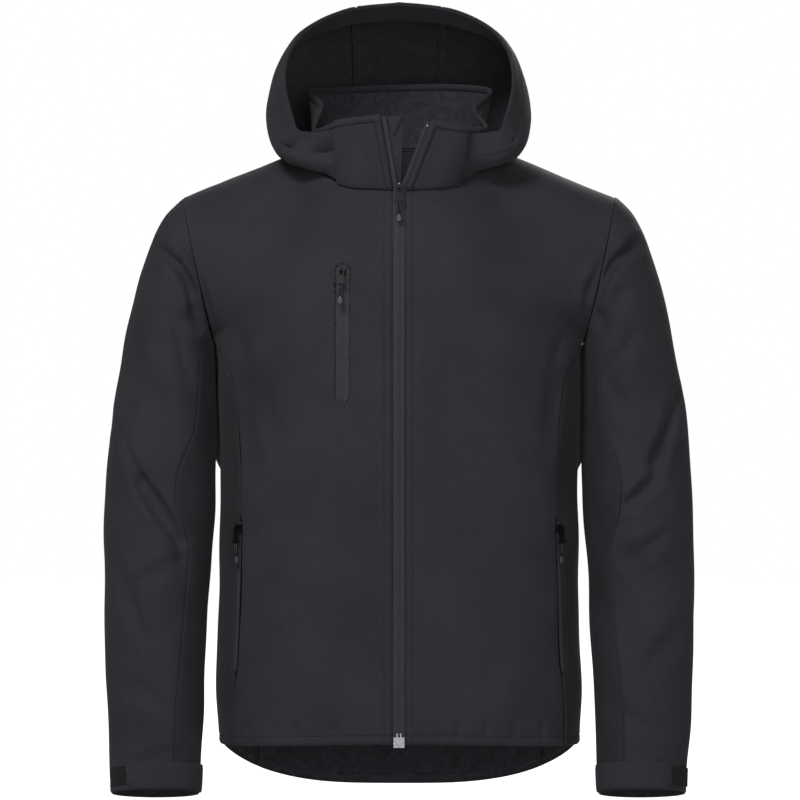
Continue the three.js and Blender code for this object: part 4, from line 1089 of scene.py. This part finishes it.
def build_cuffs():
    pieces = {}
    for name, side in SIDES:
        def patch_ring(v):
            return lerp(CUFF_LOW, CUFF_HIGH, lerp(CUFF["margin"], 1 - CUFF["margin"], v))

        def patch_at(k, v, side=side):
            return sleeve_point(side, patch_ring(v), lerp(*CUFF["patch"], k))

        points, _, v = lay_grid(patch_at, 2.6)
        ring = patch_ring(v)
        patch = Cloth(f"cuff_patch_{name}", points, sleeve_middle(side, ring), rolls=())
        patch.build([f"cuff_patch_{name}"], MATERIALS["loop"], MATERIALS["loop"],
                    thick=TRIM, lift=TRIM + SEAT)

        def tab_ring(k, v):
            shrink = np.sqrt(1 - (1 - np.minimum(k / CUFF["round"], 1)) ** 2)
            return lerp(CUFF_LOW, CUFF_HIGH, 0.5 + (v - 0.5) * lerp(CUFF["tip"], 1, shrink))

        points, k, v = lay_grid(lambda k, v: sleeve_point(side, tab_ring(k, v), lerp(*CUFF["tab"], k)), 2.4,
                                (TRIM_STITCH,), (TRIM_STITCH,), (TRIM_STITCH,))
        ring = tab_ring(k, v)

        def relief(p, e):
            near = np.minimum.reduce([e["foot"], e["top"], e["first"]])
            return channel(near, TRIM_STITCH, 0.4) + 0.3 * wander(p, 33, 20.0)

        lift = lerp(CUFF["over_patch"], CLOTH, smooth(k, 0.1, 0.3)) + SEAT + 0 * v
        tab = Cloth(f"cuff_tab_{name}", points, sleeve_middle(side, ring), relief)
        tab.build([f"cuff_tab_{name}"], SHELL, SHELL, thick=1.6, lift=lift)
        pieces[name] = tab
    return pieces


# Collar and hood

def build_collar():
    def surface(k, h):
        across = 2 * k - 1
        at = NECK_BACK * (1 - np.abs(across))
        return np.where((across < 0)[..., None], collar_at(RIGHT, at, h), collar_at(LEFT, at, h))

    points, _, _ = lay_grid(surface, 3.0, (), (BIND,), (BIND,), (BIND,))

    def relief(p, e):
        return 0.7 * wander(p, 35, 28.0) * smooth(e["top"], 2, 20)

    piece = Cloth("collar", points, axis_of(points), relief)
    piece.build(["collar"], FLEECE, FLEECE)
    tabs = {}
    for name, side in SIDES:
        points, k, _ = lay_grid(lambda k, h: collar_at(side, k * TAB_END[side], h), 2.8,
                                (), (BIND,), (BIND,), (SEAM_STITCH,))

        def tab_relief(p, e):
            depth = channel(e["last"], SEAM_STITCH, 0.3) + channel(e["first"], BIND + 1, 0.5)
            depth = depth + channel(e["top"], BIND + 1, 0.5)
            return depth + 0.5 * wander(p, 37, 26.0) * smooth(e["top"], 2, 20)

        tab = Cloth(f"collar_tab_{name}", points, axis_of(points), tab_relief)
        tab.build([f"collar_tab_{name}"], SHELL, FLEECE, thick=1.8, lift=tab_lift(k))
        tabs[name] = tab
    return tabs


BIND = 6.5                       # how far the collar's binding reaches down from its edge


def tab_lift(k):
    return lerp(2.6, 5.8, smooth(k, 0.3, 0.75))


def binding_section(outer, inner, reach):
    """A folded strip over an edge: across the cloth, then down it."""
    wall, swell, loose = 0.65, 0.2, 0.15
    middle = (outer + inner) / 2
    return np.array([(outer + wall, reach), (outer + wall + swell, reach * 0.5), (outer + wall + 0.1, 0.2),
                     (middle + 0.8, -1.2), (middle - 0.8, -1.2),
                     (inner - wall - 0.1, 0.2), (inner - wall - swell, reach * 0.5), (inner - wall, reach),
                     (inner - loose, reach), (inner - loose, 0.1),
                     (outer + loose, 0.1), (outer + loose, reach)])


def bind(name, path, out, down, outer):
    """A binding along an edge; outer may change along it where the edge has more layers."""
    outer = np.broadcast_to(outer, len(path))
    rings = []
    for place, a, b, over in zip(path, out, down, outer):
        section = binding_section(over, -CLOTH, BIND)
        rings.append(place + section[:, :1] * a + section[:, 1:] * b)
    piece = ring_piece(name, rings, SHELL)


def build_collar_bindings():
    k = np.linspace(0.001, 0.999, 260)
    across = 2 * k - 1
    at = NECK_BACK * (1 - np.abs(across))
    left = (across >= 0)[:, None]

    def on_collar(h):
        h = np.full(len(k), h)
        return np.where(left, collar_at(LEFT, at, h), collar_at(RIGHT, at, h))

    top = on_collar(0.985)
    down = unit(on_collar(0.9) - top)
    ahead = unit(np.gradient(top, axis=0))
    out = unit(np.cross(ahead, down))
    out *= np.sign(np.sum(out * top * np.array([1, 1, 0])))
    end = np.where(across < 0, TAB_END[RIGHT], TAB_END[LEFT])
    layers = 1 - smooth(at - end, -0.05, 0.25)
    lifted = tab_lift(np.minimum(at / end, 1)) * layers
    bind("collar_binding", top, out, down, lifted)
    for name, side in SIDES:
        h = np.linspace(0.02, 0.965, 60)
        edge = collar_at(side, np.full(60, 0.015), h)
        inward = unit(collar_at(side, np.full(60, 0.2), h) - edge)
        out = unit(np.cross(np.gradient(edge, axis=0), inward))
        out *= np.sign(np.sum(out * edge * np.array([1, 1, 0])))
        bind(f"collar_binding_{name}", edge, out, inward, tab_lift(0.0))


FACING_DROOP = 16                # the facing hangs loose at the hood's top
HOOD_MIDDLE = np.array([0, 40.0, 70.0])


# The hood's creases: back ones (1) show inside it, front ones (-1) lie over the shoulder
HOOD_CREASES = table("face x0 z0 x1 z1 wide deep",
                     (-1, -132, 4, -72, -10, 4, 6.0), (-1, 80, -4, 130, 14, 4, 6.0),
                     (-1, -120, -24, -84, -32, 7, 2.0), (-1, 90, -28, 122, -18, 7, 2.0),
                     (-1, -134, 38, -104, 14, 8, 1.2), (-1, 136, 40, 108, 18, 8, 1.2),
                     (1, 8, 146, 56, 134, 6, -3.6), (1, 8, 92, 84, 90, 6, -3.6),
                     (1, -104, 130, -66, 124, 6, -2.5), (1, -70, 112, -30, 120, 7, -2.0),
                     (1, 60, 118, 104, 126, 7, -2.2), (1, -96, 84, -40, 92, 8, -2.4),
                     (1, -60, 40, 70, 30, 10, 3.0), (1, -110, 20, -60, 60, 10, 2.6),
                     (1, 104, 14, 66, 64, 10, 2.6))


def hood_relief(p, e):
    depth = channel(e["top"], HOOD_STITCH, 0.6) + pucker(p, e["first"], 41) + pucker(p, e["last"], 41)
    sway = 3.0 * wander(p, 6, 24.0)
    for k in range(len(HOOD_CREASES["face"])):
        c = {name: column[k] for name, column in HOOD_CREASES.items()}
        away, _ = from_segment(p, c["x0"], c["z0"], c["x1"], c["z1"])
        there = smooth(p[..., 1] * c["face"], -30 if c["face"] > 0 else 6, 20 if c["face"] > 0 else 60)
        depth += there * c["deep"] * np.exp(-((away + sway) / c["wide"]) ** 2)
        ridge = 0.4 if c["face"] > 0 else 0.08
        depth -= there * ridge * c["deep"] * np.exp(-((away + sway - 2 * c["wide"]) / c["wide"]) ** 2)
    return depth + 0.9 * wander(p, 44, 40.0) * smooth(e["top"], 6, 60) + 0.4 * wander(p, 45, 22.0)


def seam_band(name, path, normals, wide=10.0, thick=2.2):
    """The sewn-down seam allowance on the cloth's inside."""
    ahead = unit(np.gradient(path, axis=0))
    beside = unit(np.cross(ahead, normals))
    out = unit(np.cross(beside, ahead))
    out *= np.sign(np.sum(out * normals))
    half = wide / 2
    section = np.array([(-half, 0.0), (-half + 0.3, -thick), (-0.6, -thick), (0, -thick * 0.55),
                        (0.6, -thick), (half - 0.3, -thick), (half, 0.0)])
    origins = path - out * (CLOTH + 0.15)
    rings = origins[:, None] + beside[:, None] * section[None, :, :1] + out[:, None] * section[None, :, 1:]
    ring_piece(name, rings, LINING)


def build_seam_bands(fronts, back):
    """The side seams' allowances, which also keep light out of the seams."""
    for name, piece, edge in (("front_right", fronts["right"], "last"), ("front_left", fronts["left"], "last"),
                              ("back_right", back, "first"), ("back_left", back, "last")):
        path, normals = piece.line(edge, 0.0)
        low = path[:, 2] < ARMHOLE_FOOT - 6
        seam_band(f"seam_{name}", path[low][2::2], normals[low][2::2], thick=0.8)


def build_hood():
    pieces = {}
    for name, side in SIDES:
        points, _, _ = lay_grid(lambda k, t: hood_at(side, HOOD_SEAM * k, t), 4.0, (), (HOOD_STITCH,))
        piece = Cloth(f"hood_{name}", points, HOOD_MIDDLE, hood_relief)
        piece.build([f"hood_{name}"], SHELL, LINING)
        pieces[name] = piece

    def centre_at(k, t):
        rib = HOOD_SEAM + (HOOD_RIBS - HOOD_SEAM) * (1 - np.abs(2 * k - 1))
        return np.where((k < 0.5)[..., None], hood_at(RIGHT, rib, t), hood_at(LEFT, rib, t))

    points, _, _ = lay_grid(centre_at, 4.0, (), (HOOD_STITCH,))
    piece = Cloth("hood_centre", points, HOOD_MIDDLE, hood_relief)
    piece.build(["hood_centre"], SHELL, LINING)
    pieces["centre"] = piece
    for name, edge in (("right", "first"), ("left", "last")):
        path, normals = piece.line(edge, 0.0)
        seam_band(f"hood_seam_{name}", path[6:-8:2], normals[6:-8:2])

    start = HOOD_SEAM * 2 / 12
    ribs = lerp(start, HOOD_RIBS, np.linspace(0, 1, 110))
    ribs = np.concatenate([ribs, ribs[-2::-1]])
    sides = np.arange(len(ribs)) < 110
    r = read(HOOD, "rib", ribs)
    reach = np.minimum(FACING / (3 * np.sqrt(r["highX"] ** 2 + r["highY"] ** 2 + r["highZ"] ** 2)), 0.3)
    u = np.linspace(0, 1, 15)[:, None]
    t = 1 - reach[None, :] * (1 - u)
    right = hood_at(RIGHT, ribs[sides][None, :], t[:, sides])
    left = hood_at(LEFT, ribs[~sides][None, :], t[:, ~sides])
    points = np.concatenate([right, left], 1)
    inward = unit(HOOD_MIDDLE * [0, 0, 1] - points * [1, 0, 1])
    points = points + inward * (FACING_DROOP * (1 - u) * smooth(ribs, 3.4, 5.6)[None, :])[..., None]
    facing = Cloth("hood_facing", points, HOOD_MIDDLE,
                   lambda p, e: -channel(e["foot"], 2.0, 0.4) - channel(np.abs(p[..., 0] + 14), 0.0, 2.2))
    facing.build(["hood_facing"], SHELL, SHELL, thick=TRIM, lift=-CLOTH - 0.3)
    return pieces


# Zips

TAPE_SHOWN = 6.3


def tape_relief(p, e):
    """The coil swells under the tape's inner edge, and the tape dips under the front."""
    coil = 0.4 * np.exp(-(e["first"] / 1.6) ** 2)
    return 0.35 * np.exp(-((e["first"] - 3.2) / 0.7) ** 2) - coil + 1.2 * np.exp(-(e["last"] / 1.2) ** 2)


def build_main_zip():
    for name, side in SIDES:
        v = np.linspace(0.002, 2.0, 420)
        low = panel_at(side, -1, np.zeros_like(v), v)
        h = np.linspace(0.02, 0.97, 60)
        high = collar_at(side, np.zeros_like(h), h)
        edge = np.concatenate([low, high])
        up = np.concatenate([np.zeros(len(low)), np.ones(len(high))])[:, None]
        across = np.linspace(0, 1, 13)[None, :]
        outer = edge[:, None] + vec(-side * lerp(0.15, 1.6, up), 0.6, 0)
        in_x = np.maximum(np.abs(edge[:, None, 0]) - lerp(ZIP_HALF, TAPE_SHOWN, up), 0.12)
        inner = vec(side * in_x, edge[:, None, 1] + lerp(0.6, 1.4, up), edge[:, None, 2])
        points = lerp(inner, outer, across[..., None])
        tape = Cloth(f"zip_tape_{name}", points, axis_of(points), tape_relief, rolls=())
        tape.build([f"zip_tape_{name}"], TAPE, TAPE, thick=TRIM, sheet=False)


FLAP = {"rise": (-0.14, 0.96), "behind": 4.6, "thick": 1.6}
GUARD = {"rise": (0.72, 0.98), "middle": -5.5, "half": (1.5, 9.5), "before": 2.2, "bulge": 0.8, "thick": 1.4}


def build_flap():
    h = lerp(*FLAP["rise"], np.linspace(0, 1, 60))[:, None]
    k = np.linspace(0, 1, 20)[None, :]

    def flap_at(h, k):
        edge = np.where((h < 0)[..., None], panel_at(RIGHT, -1, 0 * h, 2 + np.minimum(h, 0)),
                        collar_at(RIGHT, 0 * h, np.maximum(h, 0)))
        far = lerp(2, 5, np.maximum(h, 0))
        return vec(lerp(edge[..., 0] - 5, far, k), edge[..., 1] + FLAP["behind"], edge[..., 2])

    points = flap_at(h + 0 * k, k + 0 * h)
    flap = Cloth("wind_flap", points, axis_of(points),
                 lambda p, e: channel(e["last"], 2.5) + 0.3 * wander(p, 50, 20.0))
    flap.build(["wind_flap"], SHELL, FLEECE, thick=FLAP["thick"])
    u, k = np.linspace(0, 1, 24)[:, None], np.linspace(0, 1, 24)[None, :]
    p = flap_at(lerp(*GUARD["rise"], u) + 0 * k, 0.5 + 0 * (u + k))
    forward = p[..., 1] - GUARD["before"] - GUARD["bulge"] * np.sin(math.pi * k)
    points = vec(GUARD["middle"] + (2 * k - 1) * lerp(*GUARD["half"], u), forward, p[..., 2])
    guard = Cloth("chin_guard", points, axis_of(points))
    guard.build(["chin_guard"], SHELL, SHELL, thick=GUARD["thick"])


def strip_relief(p, e):
    """Two tapes that meet in the middle, each with its coil swelling underneath."""
    half = (e["first"] + e["last"]) / 2
    middle = np.abs(e["first"] - half)
    return 0.6 * np.exp(-(middle / 0.45) ** 2) - 0.45 * np.exp(-((middle - 1.9) / 0.9) ** 2)


def build_pocket_zips():
    for name, side in SIDES:
        z = np.linspace(POCKET_FOOT + 2, POCKET_TOP - 2, 150)
        k = np.linspace(0, 1, 13)[None, :]
        gape = pocket_gape(z) * TURN_LENGTH
        half = np.maximum(gape - 0.25, 0.35)[:, None]
        turn = read(SEAMS, "z", z)["front"][:, None] + (2 * k - 1) * half / TURN_LENGTH
        points = body_at(side, turn, z[:, None])
        strip = Cloth(f"pocket_zip_{name}", points, axis_of(points), strip_relief, rolls=())
        strip.build([f"pocket_zip_{name}"], TAPE, TAPE, thick=TRIM, lift=-0.6, sheet=False)
    z = np.linspace(CHEST_ZIP["foot"] + 0.3, CHEST_ZIP["top"] - 0.3, 170)[:, None]
    k = np.linspace(0, 1, 21)[None, :]
    to_end = np.minimum(z - CHEST_ZIP["foot"], CHEST_ZIP["top"] - z)
    short = np.maximum(CHEST_ZIP["half"] - to_end, 0)
    half = np.sqrt(CHEST_ZIP["half"] ** 2 - short ** 2) - 0.2
    points = front_at(RIGHT, -(CHEST_ZIP["x"] + (2 * k - 1) * half), z + 0 * k)
    strip = Cloth("chest_zip", points, axis_of(points), strip_relief, rolls=())
    strip.build(["chest_zip"], TAPE, TAPE, thick=TRIM, lift=-0.6, sheet=False)


# Pulls: two cords between the metal link and a rounded tip

CORD = {"radius": 1.0, "apart": 3.0, "tip_long": 9.0}
# The way along the tip, its width and its thickness, as shares
TIP_SHAPE = ((0, 0.55, 0.6), (0.08, 0.8, 0.9), (0.3, 0.9, 1), (0.75, 1, 1), (0.92, 0.8, 0.85), (1, 0.4, 0.5))
AROUND = np.linspace(0, 2 * math.pi, 14, endpoint=False)
PULLS = ("pull_main", "pull_chest", "pull_pocket_right", "pull_pocket_left")


def box_of(node):
    """A slim solid's middle, its long axis running down, its wide and thin axes, and its half length."""
    corners = np.array([node.matrix_world @ vertex.co for vertex in node.data.vertices]) / MM
    _, _, axes = np.linalg.svd(corners - corners.mean(0))
    along = axes * np.where(axes[0, 2] > 0, -1, 1)
    reach = (corners - corners.mean(0)) @ along.T
    middle = corners.mean(0) + ((reach.max(0) + reach.min(0)) / 2) @ along
    return middle, along, (reach.max(0) - reach.min(0)) / 2


def tapered(name, start, axes, rows, material, body):
    """A closed form with oval sections: rows give the way along it, half its width and half its thickness."""
    down, wide, thin = axes
    rings = []
    for at, half_wide, half_thin in rows:
        oval = np.outer(np.cos(AROUND) * half_wide, wide) + np.outer(np.sin(AROUND) * half_thin, thin)
        rings.append(start + down * at + oval)
    return ring_piece(name, rings, material, body)


def build_glints():
    """Bright steel parts for painted glints: a bead on the main slider's top, a painted highlight standing in
    for the glint on its black metal, and the left tape's top stop, a real part made bright steel for the glint
    seen there.
    """
    stop = collar_at(LEFT, 0.0, 0.93) + np.array([-3.5, -0.6, 0])
    slider = np.array([vertex.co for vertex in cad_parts["slider_main"].data.vertices]) / MM
    head = slider[slider[:, 2] > slider[:, 2].max() - 1]
    # The bead sits on the slider's top: a painted highlight in bright steel, standing in for the glint on the
    # black metal
    glint_place = np.array([0, head[:, 1].min() + 0.3, slider[:, 2].max() + 0.6])
    for name, place, high in (("slider_glint_bead", glint_place, 2.4), ("top_stop", stop, 3.2)):
        axes = np.array([(0, 0, -1.0), (1.0, 0, 0), (0, 1.0, 0)])
        shares = ((0, 0.5), (0.2, 1), (0.8, 1), (1, 0.5))
        rows = [(at * high, 1.3 * share, 1.0 * share) for at, share in shares]
        tapered(name, place, axes, rows, MATERIALS["steel"], "jacket")


def build_pulls():
    radius, long_tip = CORD["radius"], CORD["tip_long"]
    for name in PULLS:
        middle, axes, half = box_of(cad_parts[name + "_grip"])
        start, length = middle - axes[0] * half[0], 2 * half[0]
        cord = [(at, radius * share, radius * share) for at, share in
                ((0, 0.7), (0.6, 1), (length / 3, 0.94), (length - long_tip + 2, 1))]
        for label, across in (("a", -0.5), ("b", 0.5)):
            tapered(f"{name}_cord_{label}", start + axes[1] * across * CORD["apart"], axes, cord,
                    MATERIALS["grip"], name)
        tip = [(length - long_tip * (1 - at), half[1] * wide, half[2] * thin) for at, wide, thin in TIP_SHAPE]
        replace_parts(tapered(name + "_tip", start, axes, tip, MATERIALS["tip"], name), name + "_grip")


METAL_EDGE = 0.45                # how far the small metal parts' edges are rounded


def finish_metal():
    """Sliders, links and the zip box stay as they are in the CAD, with metal and rounded edges."""
    for name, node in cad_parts.items():
        if name.startswith("slider") or name.endswith("_link"):
            chosen = MATERIALS["black_metal"]
        elif name == "zip_box":
            chosen = MATERIALS["steel"]
        else:
            continue
        for material_slot in node.material_slots:
            material_slot.material = chosen
        edges = node.modifiers.new("edges", "BEVEL")
        edges.width = METAL_EDGE * MM
        edges.segments = 2


# Sewing

def build_sewing(fronts, back, sides, sleeves, cuffs, tabs, hood):
    lines = []
    for name, side in SIDES:
        front = fronts[name]
        for edge, distance in (("first", ZIP_STITCH), ("foot", HEM_STITCH), ("top", SEAM_STITCH)):
            lines.append(front.line(edge, distance))
        lines += [sides[name].line("foot", HEM_STITCH)]
        lines += [sleeves[part, name].line("foot", CUFF_STITCH) for part in ("upper", "under")]
        for path, normals in (front.line("last", POCKET_STITCH), sides[name].line("first", POCKET_STITCH)):
            beside = (path[:, 2] > POCKET_FOOT) & (path[:, 2] < POCKET_TOP)
            lines.append((path[beside], normals[beside]))
        for edge, distance in (("last", SEAM_STITCH), ("top", BIND + 1), ("first", BIND + 1)):
            lines.append(tabs[name].line(edge, distance))
        lines += [cuffs[name].line(edge, TRIM_STITCH) for edge in ("foot", "top")]
        lines += [sleeves[part, name].line("top", SEAM_STITCH) for part in ("upper", "under")]
    lines += [piece.line("top", HOOD_STITCH) for piece in hood.values()]
    for edge, distance in (("foot", HEM_STITCH), ("top", SEAM_STITCH), ("first", SEAM_STITCH),
                           ("last", SEAM_STITCH)):
        lines.append(back.line(edge, distance))
    build_stitches("topstitching", lines, THREAD)


# Put together

add_camera()
add_studio()
fronts = build_fronts()
back = build_back()
sides = build_sides()
sleeves = build_sleeves()
cuffs = build_cuffs()
tabs = build_collar()
build_collar_bindings()
hood = build_hood()
build_seam_bands(fronts, back)
build_main_zip()
build_flap()
build_pocket_zips()
build_pulls()
build_glints()
build_sewing(fronts, back, sides, sleeves, cuffs, tabs, hood)

finish_metal()
